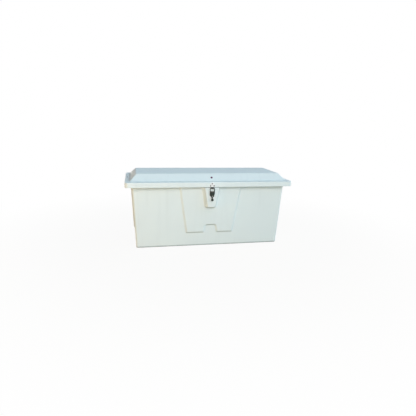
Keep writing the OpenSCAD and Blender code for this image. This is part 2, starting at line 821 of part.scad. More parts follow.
module lever_pin() {
    reach = lever_w / 2 + pin_proud;
    color(steel) translate([0, -lid_hy - fulcrum_out, fulcrum_z]) bar_x(-reach, reach, lever_pin_r);
}

// Side cheek of the lever, round its pin and the bail's pivot
module cheek_section() {
    translate([fulcrum_out, fulcrum_z]) circle(fulcrum_boss_r);
    translate([pivot_out, pivot_z]) circle(pivot_boss_r);
    translate([pivot_out, pivot_z - pivot_boss_r])
        square([lever_out + lever_t - pivot_out, fulcrum_z - pivot_z + pivot_boss_r + lever_top_rise]);
}

module lever_face() {
    top = fulcrum_z + lever_top_rise;
    hw = lever_w / 2;
    shoulder = 4;
    polygon([
        [-hw, top], [-hw, lever_bottom_z + shoulder], [-neck_w / 2, lever_bottom_z], [-neck_w / 2, knob_z],
        [neck_w / 2, knob_z], [neck_w / 2, lever_bottom_z], [hw, lever_bottom_z + shoulder], [hw, top],
    ]);
}

module latch_lever() {
    slot_hw = staple_t / 2 + slot_gap;
    knob_round = 1.5;
    color(steel) difference() {
        union() {
            translate([0, -lid_hy - lever_out, 0]) rotate([90, 0, 0]) linear_extrude(lever_t) lever_face();
            for (end = [-1, 1])
                translate([end * (cheek_in + lever_t / 2), 0, 0]) across(lever_t) cheek_section();
            translate([0, -lid_hy - lever_out, knob_z]) rotate([90, 0, 0]) rotate_extrude() polygon([
                [0, 0], [knob_r, 0], [knob_r, knob_t - knob_round],
                [knob_r - knob_round, knob_t], [0, knob_t],
            ]);
        }
        translate([-slot_hw, -lid_hy - lever_out - lever_t - past, slot_bottom_z])
            cube([2 * slot_hw, lever_t + 2 * past, slot_top_z - slot_bottom_z]);
        translate([0, -lid_hy - fulcrum_out, fulcrum_z]) bar_x(-lever_w, lever_w, lever_pin_r + running_fit);
        translate([0, -lid_hy - pivot_out, pivot_z]) bar_x(-lever_w, lever_w, bail_wire_r + running_fit);
    }
}

// Quarter bend of the bail's wire in the X-Z plane, from +X round to +Z, a hair thicker than its straights
module wire_bend(r) {
    rotate([90, 0, 0]) rotate_extrude(angle = 90) translate([r, 0]) circle(bail_wire_r + skin);
}

module latch_bail() {
    toe = cheek_in + pin_proud;
    color(steel) translate([0, -lid_hy - pivot_out, pivot_z]) rotate([-bail_lean, 0, 0]) {
        bar_hw = bail_hw - bail_bend_r + wire_lap;
        translate([0, 0, bail_length]) bar_x(-bar_hw, bar_hw, bail_wire_r);
        for (end = [0, 1]) mirror([end, 0, 0]) {
            translate([bail_hw - bail_bend_r, 0, bail_length - bail_bend_r]) wire_bend(bail_bend_r);
            translate([bail_hw, 0, bail_foot_bend_r - wire_lap])
                cylinder(r = bail_wire_r, h = bail_length - bail_bend_r - bail_foot_bend_r + 2 * wire_lap);
            translate([bail_hw - bail_foot_bend_r, 0, bail_foot_bend_r])
                mirror([0, 0, 1]) wire_bend(bail_foot_bend_r);
            bar_x(toe, bail_hw - bail_foot_bend_r + wire_lap, bail_wire_r);
        }
    }
}

// Gas springs

// Children drawn for the right end, mirrored for the left
module at_end(side) {
    mirror([side == LEFT ? 1 : 0, 0, 0]) children();
}

// Children with Z along the spring, from the tub stud towards the lid stud
module along_spring(side) {
    at_end(side) translate([spring_x, tub_stud[0], tub_stud[1]])
        rotate([spring_tilt - 90, 0, 0]) children();
}

module spring_cylinder(side) {
    cap = 6;
    in_r = cylinder_r - cylinder_wall;
    gland_r = rod_r + running_fit;
    color(black_paint) along_spring(side) rotate_extrude() polygon([
        [0, eye_length], [cylinder_r, eye_length], [cylinder_r, gland_reach], [gland_r, gland_reach],
        [gland_r, gland_reach - gland_length], [in_r, gland_reach - gland_length],
        [in_r, eye_length + cap], [0, eye_length + cap],
    ]);
}

module spring_rod(side) {
    foot = shut_length - rod_reach;
    piston_r = cylinder_r - cylinder_wall - piston_gap;
    color(chrome) along_spring(side) rotate_extrude() polygon([
        [0, foot], [piston_r, foot], [piston_r, foot + piston_length], [rod_r, foot + piston_length],
        [rod_r, shut_length - eye_length], [0, shut_length - eye_length],
    ]);
}

module spring_eye() {
    shank_start = (stud_r + eye_r) / 2;
    color(black_paint) difference() {
        union() {
            bar_x(-eye_w / 2, eye_w / 2, eye_r);
            translate([0, 0, shank_start]) cylinder(r = eye_shank_r, h = eye_length - shank_start);
        }
        bar_x(-eye_w, eye_w, stud_r + running_fit);
    }
}

module cylinder_eye(side) {
    along_spring(side) spring_eye();
}

module rod_eye(side) {
    along_spring(side) translate([0, 0, shut_length]) mirror([0, 0, 1]) spring_eye();
}

// Wedge that turns the sloping end wall into an upright face for the bracket
module tub_block(side) {
    low = tub_stud[1] - tub_block_size[1] / 2;
    high = tub_stud[1] + tub_block_size[1] / 2;
    color(block_board) at_end(side) difference() {
        translate([0, tub_stud[0] + tub_block_size[0] / 2, 0]) rotate([90, 0, 0])
            linear_extrude(tub_block_size[0]) polygon([
                [tub_face_x, low], [wall_hx(low) - tub_wall, low],
                [wall_hx(high) - tub_wall, high], [tub_face_x, high],
            ]);
        at_tub_screws() translate([0, 0, -screw_length - past])
            cylinder(r = screw_r + hole_clearance, h = screw_length + 2 * past);
    }
}

// Screw places on the right tub block, with Z pointing out of the block
module at_tub_screws() {
    for (end = [-1, 1]) translate([tub_face_x, tub_stud[0], tub_stud[1] + end * bracket_screw_spacing / 2])
        rotate([0, -90, 0]) children();
}

// Screw places on the right lid block, with Z pointing down out of the block
module at_lid_screws() {
    for (end = [-1, 1])
        translate([lid_screw_x, lid_stud[0] + end * bracket_screw_spacing / 2, crown_under_z - lid_block_t])
            rotate([180, 0, 0]) children();
}

module bracket_screw() {
    translate([0, 0, bracket_t]) cylinder(r1 = screw_head_r, r2 = screw_crown_r, h = screw_head_t);
    translate([0, 0, -screw_length]) cylinder(r = screw_r, h = screw_length + bracket_t + past);
}

module bracket_screw_hole() {
    translate([0, 0, -past]) cylinder(r = screw_r + hole_clearance, h = bracket_t + 2 * past);
}

module tub_bracket(side) {
    plate_x = tub_face_x - bracket_t;
    tip_x = spring_x - eye_w / 2 - side_gap;
    color(steel) at_end(side) difference() {
        translate([0, tub_stud[0], tub_stud[1]]) {
            translate([plate_x, -tub_bracket_size[0] / 2, -tub_bracket_size[1] / 2])
                cube([bracket_t, tub_bracket_size[0], tub_bracket_size[1]]);
            bar_x(spring_x + eye_w / 2 + side_gap, tub_face_x, stud_collar_r);
            bar_x(tip_x - stud_head_t, tub_face_x, stud_r);
            bar_x(tip_x - stud_head_t, tip_x, stud_collar_r);
        }
        at_tub_screws() bracket_screw_hole();
    }
}

module tub_bracket_screws() {
    color(steel) for (side = [LEFT, RIGHT]) at_end(side) at_tub_screws() bracket_screw();
}

module lid_block(side) {
    x0 = ear_x - lid_bracket_size[0] - lid_block_margin;
    width = lid_bracket_size[0] + 2 * lid_block_margin;
    depth = lid_bracket_size[1] + 2 * lid_block_margin;
    color(block_board) at_end(side) difference() {
        translate([x0, lid_stud[0] - depth / 2, crown_under_z - lid_block_t])
            cube([width, depth, lid_block_t]);
        at_lid_screws() translate([0, 0, -screw_length - past])
            cylinder(r = screw_r + hole_clearance, h = screw_length + 2 * past);
    }
}

// Angle bracket with a hanging ear that carries the spring's upper stud
module lid_bracket(side) {
    tip_x = spring_x + eye_w / 2 + side_gap;
    ear_r = stud_collar_r + lid_ear_rim;
    plate_z = lid_stud_z + lid_stud_drop;
    color(steel) at_end(side) difference() {
        union() {
            translate([ear_x - lid_bracket_size[0], lid_stud[0] - lid_bracket_size[1] / 2, plate_z])
                cube([lid_bracket_size[0], lid_bracket_size[1], bracket_t]);
            translate([ear_x - lid_ear_t, lid_stud[0] - ear_r, lid_stud_z])
                cube([lid_ear_t, 2 * ear_r, lid_stud_drop + bracket_t]);
            translate([0, lid_stud[0], lid_stud_z]) {
                bar_x(ear_x - lid_ear_t, ear_x, ear_r);
                bar_x(ear_x - lid_ear_t, spring_x - eye_w / 2 - side_gap, stud_collar_r);
                bar_x(ear_x - lid_ear_t, tip_x + stud_head_t, stud_r);
                bar_x(tip_x, tip_x + stud_head_t, stud_collar_r);
            }
        }
        at_lid_screws() bracket_screw_hole();
    }
}

module lid_bracket_screws() {
    color(steel) for (side = [LEFT, RIGHT]) at_end(side) at_lid_screws() bracket_screw();
}

module left_tub_block() { tub_block(LEFT); }
module right_tub_block() { tub_block(RIGHT); }
module left_tub_bracket() { tub_bracket(LEFT); }
module right_tub_bracket() { tub_bracket(RIGHT); }
module left_lid_block() { lid_block(LEFT); }
module right_lid_block() { lid_block(RIGHT); }
module left_lid_bracket() { lid_bracket(LEFT); }
module right_lid_bracket() { lid_bracket(RIGHT); }
module left_spring_cylinder() { spring_cylinder(LEFT); }
module right_spring_cylinder() { spring_cylinder(RIGHT); }
module left_spring_rod() { spring_rod(LEFT); }
module right_spring_rod() { spring_rod(RIGHT); }
module left_cylinder_eye() { cylinder_eye(LEFT); }
module right_cylinder_eye() { cylinder_eye(RIGHT); }
module left_rod_eye() { rod_eye(LEFT); }
module right_rod_eye() { rod_eye(RIGHT); }

// Small fittings

module end_bolt(side) {
    color(dark_steel) translate([side * bolt_x, 0, ledge_z]) {
        cylinder(r1 = bolt_cap_r, r2 = bolt_crown_r, h = bolt_cap_h);
        translate([0, 0, -lid_wall - bolt_bite]) cylinder(r = bolt_r, h = lid_wall + bolt_bite + past);
    }
}

module lid_bumper(side) {
    color(rubber) translate([side * bolt_x, 0, lid_under_z - seal_height]) difference() {
        cylinder(r = bumper_r, h = seal_height);
        translate([0, 0, seal_height - bolt_bite - hole_clearance])
            cylinder(r = bolt_r + hole_clearance, h = bolt_bite + hole_clearance + past);
    }
}

module left_end_bolt() { end_bolt(LEFT); }
module right_end_bolt() { end_bolt(RIGHT); }
module left_lid_bumper() { lid_bumper(LEFT); }
module right_lid_bumper() { lid_bumper(RIGHT); }

module slope_plug() {
    stem = lid_wall + plug_bite;
    color(plum) on_slope() {
        cylinder(r1 = plug_cap_r, r2 = plug_crown_r, h = plug_cap_h);
        translate([0, 0, -stem]) cylinder(r = plug_stem_r, h = stem + past);
    }
}

tub();
lid();
lid_seal();
left_hinge_tub_leaf();
left_hinge_lid_leaf();
left_hinge_pin();
right_hinge_tub_leaf();
right_hinge_lid_leaf();
right_hinge_pin();
hinge_tub_rivets();
hinge_lid_rivets();
latch_keeper();
keeper_rivets();
latch_base();
latch_base_rivets();
latch_lever();
lever_pin();
latch_bail();
left_tub_block();
right_tub_block();
left_tub_bracket();
right_tub_bracket();
tub_bracket_screws();
left_lid_block();
right_lid_block();
left_lid_bracket();
right_lid_bracket();
lid_bracket_screws();
left_spring_cylinder();
right_spring_cylinder();
left_spring_rod();
right_spring_rod();
left_cylinder_eye();
right_cylinder_eye();
left_rod_eye();
right_rod_eye();
left_end_bolt();
right_end_bolt();
left_lid_bumper();
right_lid_bumper();
slope_plug();
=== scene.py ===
"""Dock box: smooth fibreglass mouldings, turned fittings and finishes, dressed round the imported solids.

Sizes are in millimetres, and are turned into metres when a mesh is made. Lamps and floor are in metres.
"""

import logging
import math
from collections.abc import Callable, Sequence
from dataclasses import dataclass, field
from enum import Enum
from functools import partial

import bpy
import numpy as np
from mathutils import Matrix, Vector


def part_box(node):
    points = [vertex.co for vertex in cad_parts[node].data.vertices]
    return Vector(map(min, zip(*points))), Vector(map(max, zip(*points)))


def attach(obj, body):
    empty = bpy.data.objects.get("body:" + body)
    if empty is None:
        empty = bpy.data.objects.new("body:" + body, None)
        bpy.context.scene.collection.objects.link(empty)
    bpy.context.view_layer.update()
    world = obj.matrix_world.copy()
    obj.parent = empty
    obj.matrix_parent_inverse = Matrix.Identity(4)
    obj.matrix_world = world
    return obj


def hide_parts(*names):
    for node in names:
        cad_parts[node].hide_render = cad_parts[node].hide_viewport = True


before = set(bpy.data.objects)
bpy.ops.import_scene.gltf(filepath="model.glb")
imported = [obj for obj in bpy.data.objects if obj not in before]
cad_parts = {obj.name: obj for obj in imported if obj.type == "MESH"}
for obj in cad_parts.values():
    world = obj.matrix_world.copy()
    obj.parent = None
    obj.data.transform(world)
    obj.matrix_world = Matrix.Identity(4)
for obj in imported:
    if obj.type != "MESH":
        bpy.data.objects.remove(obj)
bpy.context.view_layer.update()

LOG = logging.getLogger("dock_box")
MM = 0.001
SHARP_ANGLE = math.radians(38)
FLAT_WEIGHT = 80
WELD_GAP = 0.002
BEVEL_ANGLE = math.radians(40)
BEVEL_SEGMENTS = 2
PAD_EDGE_R = 3.0
BURIED = -1000.0
MIX_SHARE = 0
MIX_FIRST = 6
MIX_SECOND = 7
MIX_RESULT = 2
WHITE = (1.0, 1.0, 1.0)
UP = (0.0, 0.0, 1.0)
FORWARD = (0.0, -1.0, 0.0)
BACKWARD = (0.0, 1.0, 0.0)
ENDS = (("left", -1), ("right", 1))

Colour = tuple[float, float, float]
Point = tuple[float, float, float]
Span = tuple[float, float]
Offsets = tuple[float, ...]
Profile = tuple[Span, ...]
Bend = tuple[float, float, int]
Socket = bpy.types.NodeSocket
Object = bpy.types.Object
Array = np.ndarray
Inputs = dict[str | int, Socket | float | Point]


class Side(Enum):
    """A wall of the box, with its outward direction as (x, y)."""

    FRONT = (0.0, -1.0)
    RIGHT = (1.0, 0.0)
    BACK = (0.0, 1.0)
    LEFT = (-1.0, 0.0)

    @property
    def is_end(self) -> bool:
        """True for the right and left walls."""
        return self in (Side.RIGHT, Side.LEFT)


class Grain(Enum):
    """How far a grained pattern is stretched along X, Y and Z."""

    ALONG_X = (25.0, 700.0, 700.0)
    ALONG_Z = (700.0, 700.0, 25.0)
    EVEN = (260.0, 260.0, 260.0)
    BOARD = (260.0, 18.0, 260.0)
    RUNS = (26.0, 26.0, 1.6)


def smoothstep(low: float, high: float, value: Array) -> Array:
    """Smooth rise from 0 at low to 1 at high."""
    share = np.clip((value - low) / (high - low), 0.0, 1.0)
    return share * share * (3.0 - 2.0 * share)


def soft_ramp(value: Array, width: float) -> Array:
    """Zero below -width, the value itself above width, and a parabola between them."""
    bow = (value + width) ** 2 / (4.0 * width)
    return np.where(value <= -width, 0.0, np.where(value >= width, value, bow))


def soft_max(first: Array, second: Array, width: float) -> Array:
    """The larger of two heights, with a fillet where they differ by less than width."""
    near = np.maximum(width - np.abs(first - second), 0.0)
    return np.maximum(first, second) + near * near / (4.0 * width)


def rounded_inside(low_gap: Array, side_gap: Array, radius: float) -> Array:
    """Distance inside two edges that meet in a rounded corner, negative outside them."""
    corner = radius - np.hypot(radius - low_gap, radius - side_gap)
    return np.where(np.maximum(low_gap, side_gap) < radius, corner, np.minimum(low_gap, side_gap))


def bend(radius: float, sweep: Bend) -> list[Span]:
    """Points round a rounded edge, as (back, down) from its corner."""
    angles = np.radians(np.linspace(sweep[0], sweep[1], sweep[2] + 1))
    return [(radius * (1.0 - math.cos(angle)), radius * (1.0 - math.sin(angle))) for angle in angles]


def ring(count: int) -> list[tuple[int, int]]:
    """Each number below count with the one that follows it, round a ring."""
    return [(i, (i + 1) % count) for i in range(count)]


def wall_columns(guides: Sequence[tuple[float, Offsets]], steps: Sequence[int], end: float) -> Array:
    """Places of a wall's mesh columns, the same on both sides of its middle.

    Args:
        guides: place of each line to follow, with the offsets of the columns round it.
        steps: plain steps before each guide, and after the last one.
        end: where the corner starts.

    Returns:
        The places, from -end to end.
    """
    places = [0.0]
    for (place, offsets), count in zip(guides, steps):
        places += list(np.linspace(places[-1], place + offsets[0], count + 1)[1:-1])
        places += [place + offset for offset in offsets]
    places += list(np.linspace(places[-1], end, steps[-1] + 1)[1:])
    half = np.array(places)
    return np.concatenate([-half[::-1], half[1:]])


@dataclass(frozen=True)
class Loop:
    """A level rounded rectangle: half sizes, corner radius and height."""

    hx: float
    hy: float
    r: float
    z: float

    def drawn_in(self, distance: float, z: float) -> "Loop":
        """The rectangle at another height, drawn in on all sides."""
        return Loop(self.hx - distance, self.hy - distance, self.r - distance, z)


@dataclass
class Skin:
    """Loops of points, one above another, that are joined into one mesh."""

    columns: Callable[[Side, Loop], Array]
    corner_steps: int = 10
    rows: list[Array] = field(default_factory=list)

    def add(self, loops: Sequence[Loop], lift: Callable[[Side, Array, float], Array] | None = None) -> None:
        """Adds loops, each counter-clockwise seen from above.

        Args:
            loops: the rounded rectangles to follow.
            lift: how far each point of a wall stands out of them, if it does.
        """
        for loop in loops:
            points: list[Array] = []
            for side in Side:
                across = self.columns(side, loop)
                out_x, out_y = side.value
                depth = np.full(across.shape, loop.hx if side.is_end else loop.hy)
                if lift is not None:
                    depth = depth + lift(side, across * (out_x - out_y), loop.z)
                x = out_x * depth - out_y * across
                y = out_y * depth + out_x * across
                points.append(np.column_stack([x, y, np.full(across.shape, loop.z)]))
                points.append(self._corner(side, loop))
            self.rows.append(np.concatenate(points))

    def _corner(self, side: Side, loop: Loop) -> Array:
        """The points of the corner that follows a wall, without its two ends.

        Args:
            side: the wall before the corner.
            loop: the rounded rectangle.

        Returns:
            The points, in order.
        """
        out_x, out_y = side.value
        angles = math.atan2(out_y, out_x) + np.radians(np.linspace(0, 90, self.corner_steps + 1))[1:-1]
        x = (out_x - out_y) * (loop.hx - loop.r) + loop.r * np.cos(angles)
        y = (out_y + out_x) * (loop.hy - loop.r) + loop.r * np.sin(angles)
        return np.column_stack([x, y, np.full(angles.shape, loop.z)])

    def make(self, name: str, closed: bool = False) -> Object:
        """Joins the loops into an object.

        Args:
            name: name of the object.
            closed: True where the last loop meets the first, and False where both ends are capped.

        Returns:
            The new object, linked to the scene.
        """
        count = len(self.rows[0])
        last = len(self.rows) - 1
        pairs = ring(last + 1) if closed else ring(last + 1)[:-1]
        faces = [
            [low * count + i, low * count + j, high * count + j, high * count + i]
            for low, high in pairs
            for i, j in ring(count)
        ]
        if not closed:
            faces.append(list(range(count))[::-1])
            faces.append([last * count + i for i in range(count)])
        return new_object(name, np.concatenate(self.rows), faces)


def new_object(name: str, points: Array, faces: Sequence[Sequence[int]]) -> Object:
    """Makes a smooth-shaded mesh object from points in millimetres.

    Args:
        name: name of the object.
        points: the points, one row each.
        faces: the faces, as lists of point numbers.

    Returns:
        The new object, linked to the scene.
    """
    mesh = bpy.data.meshes.new(name)
    mesh.from_pydata((points * MM).tolist(), [], faces)
    mesh.validate()
    mesh.shade_smooth()
    mesh.set_sharp_from_angle(angle=SHARP_ANGLE)
    obj = bpy.data.objects.new(name, mesh)
    bpy.context.scene.collection.objects.link(obj)
    return obj


def weigh_normals(obj: Object) -> None:
    """Keeps broad faces flat beside their rounded edges.

    Args:
        obj: the object to shade.
    """
    modifier = obj.modifiers.new("flat_faces", "WEIGHTED_NORMAL")
    modifier.keep_sharp = True
    modifier.weight = FLAT_WEIGHT


@dataclass(frozen=True)
class Turning:
    """A turned shape: its profile as (radius, height), closed at both ends on the axis."""

    profile: Profile
    segments: int = 28

    def make(self, name: str, places: Sequence[tuple[Point, Point]]) -> Object:
        """Makes one object with a copy of the shape at each place.

        Args:
            name: name of the object.
            places: for each copy, its origin and the direction of its axis.

        Returns:
            The new object, linked to the scene.
        """
        points: list[Array] = []
        faces: list[list[int]] = []
        for origin, axis in places:
            turn = np.array(Vector(UP).rotation_difference(Vector(axis)).to_matrix())
            first = sum(len(copy) for copy in points)
            points.append(self._points() @ turn.T + np.array(origin))
            faces += [[first + i for i in face] for face in self._faces()]
        return new_object(name, np.concatenate(points), faces)

    def _points(self) -> Array:
        """The points of one copy: its lower pole, its rings and its upper pole.

        Returns:
            The points, one row each.
        """
        angles = np.linspace(0.0, 2.0 * math.pi, self.segments, endpoint=False)
        rings = [
            np.column_stack([r * np.cos(angles), r * np.sin(angles), np.full(angles.shape, h)])
            for r, h in self.profile[1:-1]
        ]
        low, high = (np.array([[0.0, 0.0, self.profile[end][1]]]) for end in (0, -1))
        return np.concatenate([low, *rings, high])

    def _faces(self) -> list[list[int]]:
        """The faces of one copy.

        Returns:
            The faces, as lists of point numbers.
        """
        starts = [1 + self.segments * i for i in range(len(self.profile) - 2)]
        pole = starts[-1] + self.segments
        faces: list[list[int]] = []
        for i, j in ring(self.segments):
            faces.append([0, 1 + j, 1 + i])
            faces += [[low + i, low + j, high + j, high + i] for low, high in zip(starts, starts[1:])]
            faces.append([starts[-1] + i, starts[-1] + j, pole])
        return faces


@dataclass(frozen=True)
class Pattern:
    """A cloudy pattern: waves per metre, finer layers, the span that is read, and its depth as relief."""

    waves: float
    layers: float
    span: Span = (0.3, 0.7)
    grained: bool = False
    depth: float = 0.0


class Graph:
    """Adds nodes to a shader tree and links them."""

    def __init__(self, tree: bpy.types.NodeTree, shader: str, grain: Grain = Grain.EVEN) -> None:
        """Starts from a shader that the tree has.

        Args:
            tree: the node tree.
            shader: name of the shader.
            grain: stretch of its grained patterns.
        """
        self.tree = tree
        self.shader = tree.nodes[shader]
        self.grain = grain
        self.coordinates = tree.nodes.new("ShaderNodeTexCoord").outputs

    def feed(self, node: bpy.types.Node, inputs: Inputs) -> bpy.types.Node:
        """Links or sets inputs of a node.

        Args:
            node: the node.
            inputs: the output that feeds each input, or its value.

        Returns:
            The same node.
        """
        for key, source in inputs.items():
            socket = node.inputs[key]
            if isinstance(source, Socket):
                self.tree.links.new(source, socket)
            else:
                socket.default_value = (*source, 1.0) if socket.type == "RGBA" else source
        return node

    def new(self, kind: str, inputs: Inputs) -> bpy.types.Node:
        """Adds a node of a kind, and links or sets its inputs."""
        return self.feed(self.tree.nodes.new("ShaderNode" + kind), inputs)

    def noise(self, pattern: Pattern) -> Socket:
        """A cloudy pattern from 0 to 1.

        Args:
            pattern: what it is like.

        Returns:
            The pattern's output.
        """
        source = self.coordinates["Object"]
        if pattern.grained:
            source = self.new("Mapping", {"Vector": source, "Scale": self.grain.value}).outputs["Vector"]
        inputs = {"Vector": source, "Scale": pattern.waves, "Detail": pattern.layers}
        return self.new("TexNoise", inputs).outputs[0]

    def spread(self, source: Socket, span: Span, out: Span, smooth: bool = False) -> Socket:
        """Maps a span of values to another one, and holds the ends.

        Args:
            source: the values.
            span: lowest and highest value that is read.
            out: what they become.
            smooth: True where the ends are eased.

        Returns:
            The mapped values.
        """
        ends = {"From Min": span[0], "From Max": span[1], "To Min": out[0], "To Max": out[1]}
        node = self.new("MapRange", {"Value": source, **ends})
        node.interpolation_type = "SMOOTHSTEP" if smooth else "LINEAR"
        return node.outputs["Result"]

    def cloud(self, pattern: Pattern, out: Span) -> Socket:
        """A cloudy pattern, with the span that it reads mapped to another one."""
        return self.spread(self.noise(pattern), pattern.span, out)

    def axis(self, kind: str, name: str) -> Socket:
        """One axis of a kind of coordinates."""
        return self.new("SeparateXYZ", {0: self.coordinates[kind]}).outputs[name]

    def heights(self, span: Span, out: Span) -> Socket:
        """A value that changes over a span of heights above the ground."""
        return self.spread(self.axis("Object", "Z"), (span[0] * MM, span[1] * MM), out)

    def combined(self, operation: str, first: Socket, second: Socket) -> Socket:
        """One value from two.

        Args:
            operation: how they are combined.
            first: the first value.
            second: the second value.

        Returns:
            The result.
        """
        node = self.new("Math", {0: first, 1: second})
        node.operation = operation
        return node.outputs[0]

    def mixed(self, share: Socket, first: Socket | Colour, second: Colour) -> Socket:
        """A colour between two.

        Args:
            share: how much of the second colour shows.
            first: the first colour, or the output that gives it.
            second: the second colour.

        Returns:
            The mixed colour.
        """
        node = self.tree.nodes.new("ShaderNodeMix")
        node.data_type = "RGBA"
        self.feed(node, {MIX_SHARE: share, MIX_FIRST: first, MIX_SECOND: second})
        return node.outputs[MIX_RESULT]

    def bump(self, pattern: Pattern, under: Inputs) -> Socket:
        """Relief from a pattern, on the relief that is under it, if any."""
        inputs = {"Distance": pattern.depth * MM, "Height": self.noise(pattern), **under}
        return self.new("Bump", inputs).outputs["Normal"]

    def seen(self) -> Socket:
        """1 for rays from the camera and for reflections, and 0 for the light that falls on the box.

        Returns:
            The output that tells.
        """
        path = self.new("LightPath", {}).outputs
        reflected = self.combined("MAXIMUM", path["Is Glossy Ray"], path["Is Transmission Ray"])
        return self.combined("MAXIMUM", path["Is Camera Ray"], reflected)

    def show(self, share: Socket, other: bpy.types.Node, output: str) -> None:
        """Mixes the tree's own shader with another one, and sends both to an output node."""
        mix = self.new("MixShader", {0: share, 1: self.shader.outputs[0], 2: other.outputs[0]})
        self.feed(self.tree.nodes[output], {"Surface": mix.outputs[0]})


@dataclass(frozen=True)
class Finish:
    """A surface finish: a colour with patches of a second one, a roughness that varies, and relief."""

    name: str
    colour: Colour
    roughness: float
    second: Colour = WHITE
    share: float = 0.0
    patches: Pattern | None = None
    wear: Pattern | None = None
    wear_range: Span = (0.0, 0.0)
    relief: tuple[Pattern, ...] = ()
    grain: Grain = Grain.EVEN
    metallic: float = 0.0
    shine: float = 0.5
    coat: float = 0.0
    coat_roughness: float = 0.25

    def material(self) -> bpy.types.Material:
        """The finish as a material, made the first time that it is asked for.

        Returns:
            The material.
        """
        if self.name in bpy.data.materials:
            return bpy.data.materials[self.name]
        material = bpy.data.materials.new(self.name)
        material.use_nodes = True
        graph = Graph(material.node_tree, "Principled BSDF", self.grain)
        inputs: Inputs = {"Base Color": self.colour, "Roughness": self.roughness, "Metallic": self.metallic}
        inputs |= {"Coat Weight": self.coat, "Coat Roughness": self.coat_roughness}
        inputs["Specular IOR Level"] = self.shine
        if self.patches is not None:
            inputs["Base Color"] = self.tint(graph)
        if self.wear is not None:
            low, high = self.wear_range
            inputs["Roughness"] = graph.cloud(self.wear, (self.roughness + low, self.roughness + high))
        under: Inputs = {}
        for pattern in self.relief:
            under = {"Normal": graph.bump(pattern, under)}
        graph.feed(graph.shader, inputs | under)
        return material

    def tint(self, graph: Graph) -> Socket:
        """The colour, with patches of the second one."""
        return graph.mixed(graph.cloud(self.patches, (0.0, self.share)), self.colour, self.second)


@dataclass(frozen=True)
class Gelcoat(Finish):
    """Weathered gelcoat: clouding, chalky streaks, orange peel, a darker foot of dirt and painted shade, and
    painted shade under edges.
    """

    second: Colour = (0.80, 0.84, 0.83)
    share: float = 0.22
    patches: Pattern = Pattern(4.5, 3.0, (0.35, 0.70))
    wear: Pattern = Pattern(17.0, 4.0)
    wear_range: Span = (-0.05, 0.07)
    relief: tuple[Pattern, ...] = (Pattern(5.0, 1.0, depth=0.15), Pattern(190.0, 2.0, depth=0.05))
    grain: Grain = Grain.RUNS
    shine: float = 0.2
    # Grey of the grime streaks, also used as painted shade on downward-facing faces
    grime_and_shade: Colour = (0.42, 0.46, 0.43)
    streaks: Pattern = Pattern(1.0, 4.0, (0.52, 0.80), grained=True)
    streak_share: float = 0.07
    # The foot is darkened by splashed dirt and by painted shade along the base's rounded bottom edge
    foot: Colour = (0.20, 0.24, 0.23)
    foot_height: float = 15.0
    splash: Pattern = Pattern(38.0, 5.0, (0.30, 0.75))
    splash_range: Span = (0.75, 1.0)
    # Painted shade: downward-facing faces low on the tub are darkened towards the grey below
    under_shade_heights: Span = (300.0, 450.0)
    under_shade_facing: Span = (-0.85, -0.25)
    under_shade_share: float = 0.45

    def tint(self, graph: Graph) -> Socket:
        """The clouded colour, with grime streaks, a darker foot of dirt and painted shade, and painted shade
        on downward-facing faces.

        Args:
            graph: the material's nodes.

        Returns:
            The output that gives it.
        """
        runs = graph.cloud(self.streaks, (0.0, self.streak_share))
        colour = graph.mixed(runs, super().tint(graph), self.grime_and_shade)
        # A darker foot: splashed dirt and painted shade along the base's rounded bottom edge
        low = graph.heights((0.0, self.foot_height), (1.0, 0.0))
        foot_dirt_and_shade = graph.combined("MULTIPLY", low, graph.cloud(self.splash, self.splash_range))
        colour = graph.mixed(foot_dirt_and_shade, colour, self.foot)
        # Painted shade on downward-facing faces low on the tub, such as panel lower edges and the base's
        # rounded edge
        facing = graph.spread(graph.axis("Normal", "Z"), self.under_shade_facing, (self.under_shade_share, 0.0))
        painted_under_shade = graph.combined("MULTIPLY", facing, graph.heights(self.under_shade_heights, (1.0, 0.0)))
        return graph.mixed(painted_under_shade, colour, self.grime_and_shade)


@dataclass(frozen=True)
class Steel(Finish):
    """Brushed or dulled steel, with streaks along its grain and faint tarnish."""

    second: Colour = (0.30, 0.29, 0.26)
    share: float = 0.25
    patches: Pattern = Pattern(85.0, 4.0, (0.45, 0.75))
    wear: Pattern = Pattern(1.0, 3.0, grained=True)
    wear_range: Span = (-0.07, 0.10)
    relief: tuple[Pattern, ...] = (Pattern(1.0, 3.0, grained=True, depth=0.02),)
    grain: Grain = Grain.ALONG_X
    metallic: float = 1.0


@dataclass(frozen=True)
class SteelWithPaintedShade(Steel):
    """Brushed steel, painted near black below or above a height as painted shade, where it lies in the shade
    of another piece.
    """

    shade_black: Colour = (0.016, 0.024, 0.019)
    fade: Span = (478.0, 481.0)
    shade_shares: Span = (0.95, 0.0)

    def tint(self, graph: Graph) -> Socket:
        """The tarnished colour, with its painted shade."""
        return graph.mixed(graph.heights(self.fade, self.shade_shares), super().tint(graph), self.shade_black)


@dataclass(frozen=True)
class Plastic(Finish):
    """Moulded plastic with a fine texture, sun-faded in patches."""

    share: float = 0.45
    patches: Pattern = Pattern(240.0, 3.0, (0.45, 0.75))
    relief: tuple[Pattern, ...] = (Pattern(1500.0, 2.0, depth=0.02),)


GELCOAT = Gelcoat("white_gelcoat", (0.84, 0.895, 0.87), 0.50)
STAINLESS = Steel("brushed_stainless", (0.56, 0.57, 0.57), 0.30)
# Painted shade: the keeper's hook below the rim, and the base plate above the lever's lower end behind the
# lever, are painted near black
KEEPER_STEEL = SteelWithPaintedShade("keeper_steel_with_painted_shade", (0.80, 0.82, 0.81), 0.27)
BASE_STEEL = SteelWithPaintedShade(
    "base_steel_with_painted_shade", (0.80, 0.82, 0.81), 0.30,
    shade_black=(0.060, 0.055, 0.042), fade=(408.0, 415.0), shade_shares=(0.0, 0.92),
)
